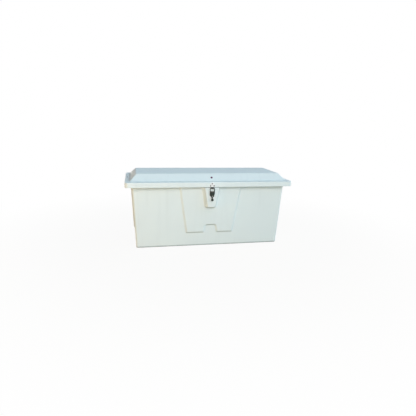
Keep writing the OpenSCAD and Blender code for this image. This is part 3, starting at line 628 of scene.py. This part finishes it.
# Painted reflection: lever, pin and bail are painted near black for the dark surroundings that their steel
# mirrors
LATCH_STEEL = Steel(
    "latch_steel_painted_dark", (0.050, 0.062, 0.055), 0.38, (0.03, 0.03, 0.02), 0.6, grain=Grain.ALONG_Z
)
FASTENER_STEEL = Steel(
    "dull_fastener_steel", (0.060, 0.062, 0.058), 0.42, (0.03, 0.028, 0.022), 0.5, grain=Grain.EVEN
)
ROD_CHROME = Finish(
    "rod_chrome", (0.78, 0.79, 0.80), 0.08, wear=Pattern(900.0, 2.0), wear_range=(0.0, 0.08), metallic=1.0
)
SEAL_RUBBER = Finish(
    "black_seal_rubber", (0.035, 0.035, 0.037), 0.75,
    second=(0.16, 0.16, 0.155), share=0.6, patches=Pattern(60.0, 5.0, (0.4, 0.75)),
    relief=(Pattern(1400.0, 2.0, depth=0.12),), shine=0.3,
)
BLACK_PAINT = Finish(
    "satin_black_paint", (0.022, 0.022, 0.024), 0.36,
    second=(0.085, 0.085, 0.09), share=0.7, patches=Pattern(70.0, 4.0, (0.5, 0.75)),
    wear=Pattern(40.0, 3.0), wear_range=(-0.06, 0.09), relief=(Pattern(700.0, 2.0, depth=0.03),),
)
BACKING_BOARD = Finish(
    "resin_coated_board", (0.62, 0.49, 0.31), 0.42,
    second=(0.42, 0.31, 0.18), share=0.8, patches=Pattern(1.0, 5.0, (0.42, 0.66), grained=True),
    relief=(Pattern(1.0, 5.0, grained=True, depth=0.15),), grain=Grain.BOARD, coat=0.25,
)
BOLT_CAP = Plastic("dark_bolt_cap", (0.075, 0.085, 0.10), 0.45, (0.15, 0.16, 0.17))
PLUM_PLASTIC = Plastic("plum_plastic", (0.100, 0.002, 0.055), 0.65, (0.13, 0.008, 0.075))


def coat(obj: Object, finish: Finish) -> None:
    """Gives an object a finish in place of what it has."""
    obj.data.materials.clear()
    obj.data.materials.append(finish.material())


def stand_for(obj: Object, node: str, body: str, finish: Finish) -> None:
    """Dresses a new piece, puts it on its body and lets it stand for a solid.

    Args:
        obj: the new piece.
        node: the solid that it stands for.
        body: the body that it moves with.
        finish: its finish.
    """
    coat(obj, finish)
    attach(obj, body)
    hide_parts(node)
    LOG.info("%s stands for %s on %s", obj.name, node, body)


def dress(node: str, finish: Finish, edge: float) -> None:
    """Gives a solid its finish, and breaks its sharp edges.

    Args:
        node: name of the solid.
        finish: its finish.
        edge: width of the broken edge.
    """
    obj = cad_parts[node]
    coat(obj, finish)
    weld = obj.modifiers.new("weld", "WELD")
    weld.merge_threshold = WELD_GAP * MM
    bevel = obj.modifiers.new("broken_edges", "BEVEL")
    bevel.width = edge * MM
    bevel.segments = BEVEL_SEGMENTS
    bevel.limit_method = "ANGLE"
    bevel.angle_limit = BEVEL_ANGLE
    bevel.use_clamp_overlap = True
    weigh_normals(obj)
    LOG.info("%s dressed in %s", node, finish.name)


@dataclass(frozen=True)
class Outline:
    """A trapezoid on a wall, with rounded corners along one of its level edges."""

    bottom: float
    bottom_w: float
    top: float
    top_w: float
    corner_r: float

    def half_width(self, z: float) -> float:
        """Half its width at a height, held above and below it."""
        return float(np.interp(z, [self.bottom, self.top], [self.bottom_w / 2, self.top_w / 2]))

    def side_gap(self, along: Array, z: float) -> Array:
        """Distance inside its sides, negative outside."""
        slope = (self.top_w - self.bottom_w) / 2 / (self.top - self.bottom)
        return (self.bottom_w / 2 + slope * (z - self.bottom) - np.abs(along)) / math.hypot(1.0, slope)

    def inside(self, along: Array, z: float) -> Array:
        """Distance inside its sides and its rounded lower edge, negative outside."""
        return rounded_inside(np.full(along.shape, z - self.bottom), self.side_gap(along, z), self.corner_r)


@dataclass(frozen=True)
class RaisedPanel(Outline):
    """A raised panel with soft sloping edges."""

    proud: float
    run: float
    soft: float

    def rise(self, inside: Array, shrink: float) -> Array:
        """How far it stands out of the wall, at distances inside an outline that is drawn in."""
        return self.proud * smoothstep(-self.soft, self.run + self.soft, inside - shrink)


@dataclass(frozen=True)
class Notch(Outline):
    """The notch in the front panel's lower edge, with rounded top corners."""

    shift: float

    def outside(self, along: Array, z: float) -> Array:
        """Distance outside the notch, negative inside it."""
        top_gap = np.full(along.shape, self.top - z)
        return -rounded_inside(top_gap, self.side_gap(along - self.shift, z), self.corner_r)


@dataclass(frozen=True)
class Pad:
    """A pad that carries a fitting: an upright face on sloping sides, rounded over at its top."""

    face: float
    top: float
    depth: float
    run: float

    def fall(self, along: Array, z: float, shrink: float) -> Array:
        """How far its sides fall back from its face, which each kind of pad tells."""
        raise NotImplementedError

    def reach(self, along: Array, z: float, shrink: float) -> Array:
        """How far the pad reaches from the middle of the box.

        Args:
            along: places along the wall.
            z: height.
            shrink: how far the pad is drawn in.

        Returns:
            The reach, or a buried value above the pad.
        """
        top = self.top - shrink
        if z > top:
            return np.full(along.shape, BURIED)
        climb = max(z - (top - PAD_EDGE_R), 0.0)
        over = PAD_EDGE_R - math.sqrt(max(PAD_EDGE_R * PAD_EDGE_R - climb * climb, 0.0))
        return self.face - shrink - self.fall(along, z, shrink) - over


@dataclass(frozen=True)
class LatchPad(Pad):
    """The pad that carries the latch, with long sloping sides."""

    outline: Outline

    def fall(self, along: Array, z: float, shrink: float) -> Array:
        """The slope round its outline."""
        past = soft_ramp(shrink - self.outline.inside(along, z), PAD_EDGE_R)
        return past * self.depth / self.run


@dataclass(frozen=True)
class HingePad(Pad):
    """One of two pads that carry the hinges, with steep sides and a sloping underside."""

    middle: float
    width: float
    bottom: float
    side_draft: float

    def fall(self, along: Array, z: float, shrink: float) -> Array:
        """The draft of its sides, or the slope of its underside.

        Args:
            along: places along the wall.
            z: height.
            shrink: how far the pad is drawn in.

        Returns:
            How far they fall back.
        """
        beside = np.abs(np.abs(along) - self.middle) - self.width / 2 + shrink
        under = soft_ramp(np.full(along.shape, self.bottom + shrink - z), PAD_EDGE_R) * self.depth / self.run
        return np.maximum(soft_ramp(beside, PAD_EDGE_R / 2) * self.side_draft, under)


@dataclass
class Tub:
    """The tub: tapered walls, raised panels, pads for the latch and hinges, and a flange with a lip.

    Bands are offsets of mesh columns, and rows are offsets of mesh rows, round the edges that they follow.
    """

    base_hx: float = 562.5
    base_hy: float = 200.5
    taper: float = 28.5
    end_taper: float = 24.5
    flange: Loop = Loop(623.0, 268.0, 28.0, 503.0)
    flange_under: float = 498.0
    flange_edge_r: float = 3.2
    flange_bend: Bend = (20, 90, 4)
    flange_insets: Offsets = (9.0, 22.0)
    lip_bottom: float = 486.0
    lip_t: float = 4.0
    lip_root: Profile = ((9.0, 0.0), (1.5, -0.3), (0.0, -2.0))
    lip_inner_edge: Profile = ((0.0, 1.6), (-0.5, 0.4), (-1.6, 0.0))
    lip_outer_edge: Profile = ((1.6, 0.0), (0.4, 0.5), (0.0, 1.6))
    wall: float = 5.0
    corner_r: float = 15.0
    base_edge_r: float = 8.0
    base_edge_steps: tuple[int, int] = (6, 5)
    mouth_edge_r: float = 4.0
    mouth_bend: Bend = (90, 15, 5)
    mouth_row: Span = (12.0, 8.0)
    fillet: float = 16.0
    panel_blend: float = 8.0
    front: RaisedPanel = RaisedPanel(106.0, 372.0, 498.0, 488.0, 12.0, proud=12.0, run=12.0, soft=2.5)
    end: RaisedPanel = RaisedPanel(128.0, 170.0, 498.0, 210.0, 12.0, proud=8.0, run=8.0, soft=2.0)
    notch: Notch = Notch(106.0, 108.0, 172.0, 84.0, 14.0, shift=6.0)
    latch_pad: LatchPad = LatchPad(280.0, 474.0, 74.5, 22.0, Outline(326.0, 60.0, 474.0, 110.0, 4.0))
    hinge_pad: HingePad = HingePad(
        280.0, 474.0, 53.5, 34.0, middle=400.0, width=96.0, bottom=400.0, side_draft=11.0
    )
    pad_band: Offsets = (-12, -8, -5, *range(-3, 20, 2), 22, 27)
    panel_band: Offsets = (-20, *range(-16, 3, 2), 5, 9)
    end_band: Offsets = (-15, *range(-11, 4, 2), 6)
    hinge_band: Offsets = (-7, -4, -2, -1, 0, 1, 2, 3, 4.5, 6, 8)
    front_steps: tuple[int, ...] = (4, 7, 9)
    back_steps: tuple[int, ...] = (12, 6, 5)
    end_steps: tuple[int, ...] = (5, 5)
    plain_rows: Offsets = (24, 46, 70, 90, 102, 142, 208, 240, 270, 290, 350, 360)
    front_rows: Offsets = (-5, *range(-2, 15, 2), 17, 22)
    notch_rows: Offsets = (-16, -12, -9, -6, -4, -2, 0, 2, 4, 6, 9)
    end_rows: Offsets = (-3, 1, 3, 5, 7, 11, 15)
    pad_rows: Offsets = (-26, -22, -19, -17, -15, -13, -10, -7, -4, -2, 0, 2, 4, 7, 11, 16)
    hinge_foot_rows: Offsets = (-4, 0, 4, 8)
    hinge_rows: Offsets = (-8, -4, -2, 0, 2, 4, 8)
    pad_top_rows: Offsets = (-50, -38, -26, -16, -8, -3, -1.8, -0.9, -0.2, 1.0, 4.0)
    flange_rows: Offsets = (-14, -8, -4, -1.5)
    least_gap: float = 0.5

    def build(self) -> None:
        """Makes the moulding, from the ground outside, over the flange, to the floor inside."""
        skin = Skin(self._columns)
        outer_steps, inner_steps = self.base_edge_steps
        skin.add(self._foot_loops(0.0, outer_steps))
        skin.add(self._wall_loops(0.0), partial(self._added, 0.0))
        skin.add(self._flange_loops())
        skin.add(self._wall_loops(self.wall)[::-1], partial(self._added, self.wall))
        skin.add(self._foot_loops(self.wall, inner_steps)[::-1])
        obj = skin.make("tub_moulding")
        weigh_normals(obj)
        stand_for(obj, "tub", "tub", GELCOAT)

    def _columns(self, side: Side, loop: Loop) -> Array:
        """Places of the columns on a wall, which follow the edges of its panels and pads.

        Args:
            side: the wall.
            loop: the row's rounded rectangle.

        Returns:
            The places, seen from outside, left to right.
        """
        if side.is_end:
            guides = [(self.end.half_width(loop.z), self.end_band)]
            return wall_columns(guides, self.end_steps, loop.hy - loop.r)
        if side is Side.FRONT:
            notch, pad = self.notch, self.latch_pad.outline
            heights = [notch.bottom, notch.top, pad.bottom, pad.top]
            widths = [notch.bottom_w, notch.top_w, pad.bottom_w, pad.top_w]
            middle = float(np.interp(loop.z, heights, widths)) / 2
            guides = [(middle, self.pad_band), (self.front.half_width(loop.z), self.panel_band)]
            return wall_columns(guides, self.front_steps, loop.hx - loop.r)
        hinge = self.hinge_pad
        inner = tuple(-offset for offset in self.hinge_band[::-1])
        guides = [(hinge.middle - hinge.width / 2, inner), (hinge.middle + hinge.width / 2, self.hinge_band)]
        return wall_columns(guides, self.back_steps, loop.hx - loop.r)

    def _wall_loops(self, inset: float) -> list[Loop]:
        """The plain wall's loops, close together where an edge crosses the wall.

        Args:
            inset: distance from the outer face.

        Returns:
            The loops, from the base up.
        """
        hinge = self.hinge_pad
        edges = (
            (0.0, (self.base_edge_r, *self.plain_rows)),
            (self.front.bottom + inset, self.front_rows),
            (self.notch.top + inset, self.notch_rows),
            (self.end.bottom + inset, self.end_rows),
            (self.latch_pad.outline.bottom + inset, self.pad_rows),
            (hinge.bottom - hinge.run + inset, self.hinge_foot_rows),
            (hinge.bottom + inset, self.hinge_rows),
            (hinge.top - inset, self.pad_top_rows),
            (self.flange_under - inset, self.flange_rows),
        )
        levels = {edge + offset for edge, offsets in edges for offset in offsets}
        top = self.flange.z - self.mouth_edge_r if inset else self.flange_under
        kept: list[float] = []
        for z in sorted(levels | {top}):
            if z <= top and (not kept or z - kept[-1] > self.least_gap):
                kept.append(z)
        return [self._wall_loop(z, inset) for z in kept]

    def _wall_loop(self, z: float, inset: float) -> Loop:
        """The plain wall's rounded rectangle at a height, at a distance from the outer face."""
        climb = z / self.flange.z
        return Loop(
            self.base_hx + self.end_taper * climb - inset,
            self.base_hy + self.taper * climb - inset,
            self.corner_r - inset,
            z,
        )

    def _foot_loops(self, inset: float, steps: int) -> list[Loop]:
        """The loops of the round-over between the base and the walls, from the base up."""
        rows = bend(self.base_edge_r - inset, (0, 90, steps))[:-1]
        return [self._wall_loop(inset + up, inset).drawn_in(back, inset + up) for up, back in rows]

    def _added(self, inset: float, side: Side, along: Array, z: float) -> Array:
        """What the panels and pads add to a plain wall.

        Args:
            inset: distance from the outer face.
            side: the wall.
            along: places along it.
            z: height.

        Returns:
            How far the points stand out of the plain wall.
        """
        if side.is_end:
            return self.end.rise(self.end.inside(along, z), inset)
        plain = np.full(along.shape, self._wall_loop(z, inset).hy)
        if side is Side.BACK:
            return soft_max(plain, self.hinge_pad.reach(along, z, inset), self.fillet) - plain
        kept = self.notch.outside(along, z) + self.front.run / 2
        inside = -soft_max(-self.front.inside(along, z), -kept, self.panel_blend)
        panel = plain + self.front.rise(inside, inset)
        return soft_max(panel, self.latch_pad.reach(along, z, inset), self.fillet) - plain

    def _flange_loops(self) -> list[Loop]:
        """The loops from the wall under the flange, round its lip, to the mouth of the tub.

        Returns:
            The loops, in order.
        """
        top = self.flange.z
        steps = [(self.lip_t + back, self.flange_under + up) for back, up in self.lip_root]
        steps += [(self.lip_t + back, self.lip_bottom + up) for back, up in self.lip_inner_edge]
        steps += [(back, self.lip_bottom + up) for back, up in self.lip_outer_edge]
        steps += [(0.0, top - self.flange_edge_r)]
        steps += [(back, top - down) for back, down in bend(self.flange_edge_r, self.flange_bend)]
        steps += [(back, top) for back in self.flange_insets]
        loops = [self.flange.drawn_in(back, z) for back, z in steps]
        mouth = self._wall_loop(top, self.wall)
        out, rounder = self.mouth_row
        loops.append(Loop(mouth.hx + out, mouth.hy + out, mouth.r + rounder, top))
        bent = bend(self.mouth_edge_r, self.mouth_bend)
        return loops + [mouth.drawn_in(-back, top - down) for back, down in bent]


@dataclass
class Lid:
    """The lid: an upright rim, a flat ledge and a hipped crown, with a bulb seal and bumpers underneath."""

    rim: Loop = Loop(635.0, 280.0, 28.0, 516.0)
    rim_bottom: float = 478.0
    top: float = 568.0
    wall: float = 5.0
    rim_edge_r: float = 4.0
    rim_bend: Bend = (0, 90, 6)
    rim_inner_edge: Profile = ((0.0, 1.8), (-0.5, 0.5), (-1.8, 0.0))
    rim_outer_edge: Profile = ((1.8, 0.0), (0.5, 0.5), (0.0, 1.8), (0.0, 4.5))
    rim_row: float = 8.0
    ledge_row: float = 10.0
    ledge_root: Profile = ((8.0, 0.0), (1.2, -0.2), (0.0, -1.5))
    end_ledge_and_slope: Span = (31.0, 50.0)
    side_ledge_and_slope: Span = (54.0, 50.0)
    crown_corner_r: float = 12.0
    foot_fillet: float = 3.0
    crown_edge: float = 4.0
    fillet_rows: Offsets = (-1.6, -1.0, -0.6, -0.3, 0.0, 0.3, 0.6, 1.0)
    crown_rows: Offsets = (9.0, 18.0, 27.0, 36.0)
    end_steps: int = 12
    side_steps: int = 26
    seal: Loop = Loop(607.5, 252.5, 23.0, 511.0)
    seal_top: Profile = ((5.0, -1.9), (5.0, 0.0), (-5.0, 0.0), (-5.0, -1.9))
    seal_bulb: Profile = ((4.4, -2.4), (4.1, -3.1), (4.0, -4.4), (3.4, -5.9), (2.3, -7.1), (0.8, -7.65))
    bumper_x: float = 619.0
    bumper: Turning = Turning(
        ((0, -7.7), (1.8, -7.6), (3.4, -7.0), (4.5, -5.9), (4.95, -4.5), (5.0, -1.2), (4.9, -0.2), (0, 0))
    )

    def build(self) -> None:
        """Makes the moulding, the seal and the bumpers."""
        self._moulding()
        self._seal()
        for name, side in ENDS:
            place = ((side * self.bumper_x, 0.0, self.rim.z - self.wall), UP)
            obj = self.bumper.make(f"{name}_rubber_bumper", [place])
            stand_for(obj, f"{name}_lid_bumper", "lid", SEAL_RUBBER)

    def _columns(self, side: Side, loop: Loop) -> Array:
        """Evenly spaced columns on a wall."""
        steps, half = (self.end_steps, loop.hy) if side.is_end else (self.side_steps, loop.hx)
        return wall_columns([], [steps], half - loop.r)

    def _crown(self, z: float, inset: float) -> Loop:
        """The crown's rounded rectangle at a height.

        Args:
            z: height.
            inset: distance from the outer face, square to the slope.

        Returns:
            The loop.
        """
        rise = self.top - self.rim.z
        share = (z - self.rim.z) / rise
        sides = ((self.rim.hx, *self.end_ledge_and_slope), (self.rim.hy, *self.side_ledge_and_slope))
        hx, hy = (
            half - ledge - slope * share - inset * math.hypot(slope, rise) / rise
            for half, ledge, slope in sides
        )
        return Loop(hx, hy, self.crown_corner_r - inset, z)

    def _crown_loops(self, inset: float) -> list[Loop]:
        """The loops of the crown from its foot to its flat top.

        Args:
            inset: distance from the outer face.

        Returns:
            The loops, from the foot up.
        """
        foot, top = self.rim.z - inset, self.top - inset
        loops: list[Loop] = []
        for share in self.fillet_rows:
            up = float(soft_ramp(np.array(share), 1.0)) * self.foot_fillet
            slope = self._crown(foot + share * self.foot_fillet, inset)
            loops.append(Loop(slope.hx, slope.hy, slope.r + max(-share, 0.0), foot + up))
        loops += [self._crown(foot + rise, inset) for rise in self.crown_rows]
        for share in (-row for row in self.fillet_rows[::-1]):
            up = share * self.crown_edge - float(soft_ramp(np.array(share), 1.0)) * self.crown_edge
            slope = self._crown(top + share * self.crown_edge, inset)
            loops.append(Loop(slope.hx, slope.hy, slope.r, top + up))
        return loops

    def _moulding(self) -> None:
        """Makes the lid's shell, from its ceiling down inside, round the rim, and up to its top."""
        skin = Skin(self._columns)
        skin.add(self._crown_loops(self.wall)[::-1])
        inner = self.rim.drawn_in(self.wall, self.rim.z - self.wall)
        for back, up in self.ledge_root:
            skin.add([Loop(inner.hx - back, inner.hy - back, inner.r, inner.z + up)])
        steps = [(self.wall + back, self.rim_bottom + up) for back, up in self.rim_inner_edge]
        steps += [(back, self.rim_bottom + up) for back, up in self.rim_outer_edge]
        steps += [(0.0, self.rim.z - self.rim_row)]
        steps += [(back, self.rim.z - down) for back, down in bend(self.rim_edge_r, self.rim_bend)]
        steps += [(self.ledge_row, self.rim.z)]
        skin.add([self.rim.drawn_in(back, z) for back, z in steps])
        skin.add(self._crown_loops(0.0))
        obj = skin.make("lid_moulding")
        weigh_normals(obj)
        stand_for(obj, "lid", "lid", GELCOAT)

    def _seal(self) -> None:
        """Makes the bulb seal under the ledge."""
        skin = Skin(self._columns)
        section = [*self.seal_top, *((-out, drop) for out, drop in self.seal_bulb), *self.seal_bulb[::-1]]
        skin.add([self.seal.drawn_in(-out, self.seal.z + drop) for out, drop in section])
        stand_for(skin.make("bulb_seal", closed=True), "lid_seal", "lid", SEAL_RUBBER)


@dataclass(frozen=True)
class Rivets:
    """Blind rivets: domed heads, dimpled where the mandrel broke, and swollen tails past their grip."""

    head_r: float = 4.6
    tail: Profile = ((0.0, -2.5), (1.5, -2.5), (2.6, -1.5), (2.3, 0.0), (1.6, 0.0))
    seat: Profile = ((1.6, 0.0), (4.3, 0.0), (4.6, 0.35), (4.278, 0.99), (3.45, 1.44), (2.3, 1.746))
    dimple: Profile = ((1.564, 1.8), (1.242, 1.674), (1.104, 1.08), (0.0, 0.936))

    def make(self, name: str, grip: float, places: Sequence[tuple[Point, Point]]) -> Object:
        """Makes rivets that hold sheets of a total thickness, each under its head at a place."""
        tail = [(r, z - grip) for r, z in self.tail]
        return Turning((*tail, *self.seat, *self.dimple)).make(name, places)


@dataclass
class Hinges:
    """The two butt hinges at the back, with their pins and rivets."""

    x: float = 400.0
    face: float = 280.0
    axis_z: float = 476.0
    leaf_t: float = 2.0
    rivet_rise: float = 19.5
    rivet_spacing: float = 52.0
    wall: float = 5.0
    edge: float = 0.35
    rivets: Rivets = Rivets()

    def dress(self) -> None:
        """Finishes the leaves and pins, and makes the rivets."""
        for side, _ in ENDS:
            for part in ("hinge_tub_leaf", "hinge_lid_leaf", "hinge_pin"):
                dress(f"{side}_{part}", STAINLESS, self.edge)
        for node, body, up in (("hinge_tub_rivets", "tub", -1), ("hinge_lid_rivets", "lid", 1)):
            y = self.face + self.leaf_t
            z = self.axis_z + up * self.rivet_rise
            places = [
                ((side * self.x + end * self.rivet_spacing / 2, y, z), BACKWARD)
                for side in (-1, 1)
                for end in (-1, 1)
            ]
            obj = self.rivets.make(f"domed_{node}", self.leaf_t + self.wall, places)
            stand_for(obj, node, body, FASTENER_STEEL)


@dataclass
class Latch:
    """The draw latch at the front: keeper, base, lever, bail and their rivets."""

    face: float = 280.0
    plate_t: float = 2.0
    wall: float = 5.0
    edge: float = 0.3
    wire_edge: float = 0.15
    keeper_bottom: float = 480.0
    keeper_rivets: Profile = ((0.0, 24.0), (13.0, 8.0), (-13.0, 8.0))
    rivets: Rivets = Rivets()

    def dress(self) -> None:
        """Finishes the solids, and makes the rivets."""
        dress("latch_keeper", KEEPER_STEEL, self.edge)
        dress("latch_base", BASE_STEEL, self.edge)
        for node in ("latch_lever", "lever_pin"):
            dress(node, LATCH_STEEL, self.edge)
        dress("latch_bail", LATCH_STEEL, self.wire_edge)
        y = -self.face - self.plate_t
        grip = self.plate_t + self.wall
        keeper = [((x, y, self.keeper_bottom + z), FORWARD) for x, z in self.keeper_rivets]
        obj = self.rivets.make("domed_keeper_rivets", grip, keeper)
        stand_for(obj, "keeper_rivets", "lid", FASTENER_STEEL)
        base = [((0.0, y, z), FORWARD) for z in self._base_rivet_heights()]
        obj = self.rivets.make("domed_base_rivets", grip, base)
        stand_for(obj, "latch_base_rivets", "tub", FASTENER_STEEL)

    def _base_rivet_heights(self) -> Span:
        """Heights of the base plate's two rivets, from the solid's own box."""
        low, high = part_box("latch_base_rivets")
        return low.z / MM + self.rivets.head_r, high.z / MM - self.rivets.head_r


@dataclass
class GasSprings:
    """The two gas springs, their brackets, backing blocks and screws."""

    edge: float = 0.5
    block_edge: float = 1.2

    def dress(self) -> None:
        """Finishes the solids of both springs."""
        for side, _ in ENDS:
            for part in ("spring_cylinder", "cylinder_eye", "rod_eye"):
                dress(f"{side}_{part}", BLACK_PAINT, self.edge)
            dress(f"{side}_spring_rod", ROD_CHROME, self.edge)
            for end in ("tub", "lid"):
                dress(f"{side}_{end}_bracket", STAINLESS, self.edge)
                dress(f"{side}_{end}_block", BACKING_BOARD, self.block_edge)
        for node in ("tub_bracket_screws", "lid_bracket_screws"):
            dress(node, FASTENER_STEEL, self.edge)


@dataclass
class Fittings:
    """The capped bolts on the lid's ends and the plug on its front slope."""

    bolt_x: float = 619.0
    bolt_z: float = 516.0
    bolt_shank: Profile = ((0, -10.0), (2.7, -10.0), (3.0, -9.6), (3.0, 0.0))
    bolt_cap: Profile = ((5.0, 0.0), (5.0, 0.9), (4.75, 1.7), (4.2, 2.5), (3.2, 3.15), (1.8, 3.45), (0, 3.5))
    plug_at: Point = (9.0, -204.0, 538.88)
    plug_run: float = 50.0
    plug_rise: float = 52.0
    plug_shank: Profile = ((0, -7.0), (3.2, -7.0), (3.5, -6.6), (3.5, 0.0))
    plug_head: Profile = ((8.0, 0), (8.25, 0.3), (8.0, 0.9), (7.15, 1.45), (5.5, 1.8), (3.1, 1.97), (0, 2.0))

    def build(self) -> None:
        """Makes the bolts and the plug."""
        bolt = Turning(self.bolt_shank + self.bolt_cap)
        for name, side in ENDS:
            obj = bolt.make(f"{name}_capped_bolt", [((side * self.bolt_x, 0.0, self.bolt_z), UP)])
            stand_for(obj, f"{name}_end_bolt", "lid", BOLT_CAP)
        out = (0.0, -self.plug_rise, self.plug_run)
        obj = Turning(self.plug_shank + self.plug_head).make("domed_slope_plug", [(self.plug_at, out)])
        stand_for(obj, "slope_plug", "lid", PLUM_PLASTIC)


@dataclass(frozen=True)
class Lamp:
    """A soft box: where it stands, what it faces, its size in metres, its colour and its power."""

    name: str
    place: Point
    target: Point
    size: Span
    colour: Colour
    power: float

    def build(self) -> None:
        """Adds the lamp to the scene."""
        data = bpy.data.lights.new(self.name, "AREA")
        data.shape = "RECTANGLE"
        data.size, data.size_y = self.size
        data.color = self.colour
        data.energy = self.power
        lamp = bpy.data.objects.new(self.name, data)
        lamp.location = self.place
        lamp.rotation_euler = (Vector(self.target) - Vector(self.place)).to_track_quat("-Z", "Y").to_euler()
        bpy.context.scene.collection.objects.link(lamp)


@dataclass
class Studio:
    """Pale floor, white surround, soft boxes and the camera."""

    floor_half: float = 30.0
    floor_colour: Colour = (0.54, 0.48, 0.38)
    floor_roughness: float = 0.9
    floor_glow: float = 0.94
    glow_reach: Span = (0.7, 2.4)
    sky: Colour = (0.56, 0.80, 1.0)
    sky_strength: float = 1.28
    sky_side: Span = (-0.14, 0.46)
    eye: Point = (-561.0, -2821.6, 930.4)
    yaw: float = 11.824
    pitch: float = 13.222
    roll: float = 1.371
    focal_px: float = 355.2
    picture_px: float = 416.0
    sensor: float = 36.0
    far: float = 100.0
    lamps: tuple[Lamp, ...] = (
        Lamp("front_box", (-0.10, -3.5, 2.0), (0.0, 0.0, 0.30), (2.4, 1.6), (0.965, 0.96, 0.95), 69.0),
        Lamp("back_box", (0.3, 3.4, 0.27), (0.0, 0.0, 0.27), (3.6, 0.48), (1.0, 0.97, 0.94), 42.0),
        Lamp("right_box", (3.0, 0.8, 0.29), (0.0, 0.0, 0.29), (1.8, 0.5), (1.0, 0.77, 0.56), 13.0),
        Lamp("left_bounce", (-2.0, -0.65, 0.06), (0.0, -0.20, 0.28), (0.8, 0.4), (1.0, 0.66, 0.30), 7.8),
        Lamp("ground_bounce", (-1.75, -1.45, 0.06), (0.0, -0.28, 0.40), (0.8, 0.5), (1.0, 0.74, 0.50), 7.4),
    )

    def build(self) -> None:
        """Makes the stage and sets the view."""
        self._floor()
        self._surround()
        for lamp in self.lamps:
            lamp.build()
        self._camera()
        bpy.context.scene.view_settings.view_transform = "Standard"

    def _floor(self) -> None:
        """Makes the floor, which keeps the box's shadow and turns white away from it."""
        half = self.floor_half / MM
        corners = np.array([[-half, -half, 0.0], [half, -half, 0.0], [half, half, 0.0], [-half, half, 0.0]])
        floor = new_object("floor", corners, [[0, 1, 2, 3]])
        material = bpy.data.materials.new("pale_floor")
        material.use_nodes = True
        graph = Graph(material.node_tree, "Principled BSDF")
        graph.feed(graph.shader, {"Base Color": self.floor_colour, "Roughness": self.floor_roughness})
        distance = graph.new("VectorMath", {0: graph.coordinates["Object"]})
        distance.operation = "LENGTH"
        fade = graph.spread(distance.outputs["Value"], self.glow_reach, (self.floor_glow, 1.0), smooth=True)
        share = graph.combined("MULTIPLY", graph.seen(), fade)
        graph.show(share, graph.new("Emission", {}), "Material Output")
        floor.data.materials.append(material)

    def _surround(self) -> None:
        """Makes a white surround that lights the box as a sky, brighter on the right."""
        world = bpy.data.worlds.new("surround")
        world.use_nodes = True
        graph = Graph(world.node_tree, "Background")
        side = graph.axis("Generated", "X")
        strength = graph.spread(side, self.sky_side, (0.0, self.sky_strength), smooth=True)
        graph.feed(graph.shader, {"Color": self.sky, "Strength": strength})
        graph.show(graph.seen(), graph.new("Background", {"Color": WHITE}), "World Output")
        bpy.context.scene.world = world

    def _camera(self) -> None:
        """Sets the camera at the photograph's viewing angle."""
        data = bpy.data.cameras.new("photo_view")
        data.sensor_width = self.sensor
        data.lens = self.focal_px / self.picture_px * self.sensor
        data.clip_end = self.far
        camera = bpy.data.objects.new("photo_view", data)
        turn = Matrix.Rotation(math.radians(-self.yaw), 3, "Z")
        nod = Matrix.Rotation(math.radians(90.0 - self.pitch), 3, "X")
        lean = Matrix.Rotation(math.radians(self.roll), 3, "Z")
        camera.rotation_euler = (turn @ nod @ lean).to_euler()
        camera.location = Vector(self.eye) * MM
        bpy.context.scene.collection.objects.link(camera)
        bpy.context.scene.camera = camera


def main() -> None:
    """Builds the studio and dresses the box, one sub-assembly after another."""
    logging.basicConfig(level=logging.INFO, format="%(name)s: %(message)s")
    Studio().build()
    Tub().build()
    Lid().build()
    Hinges().dress()
    Latch().dress()
    GasSprings().dress()
    Fittings().build()


if __name__ == "__main__":
    main()
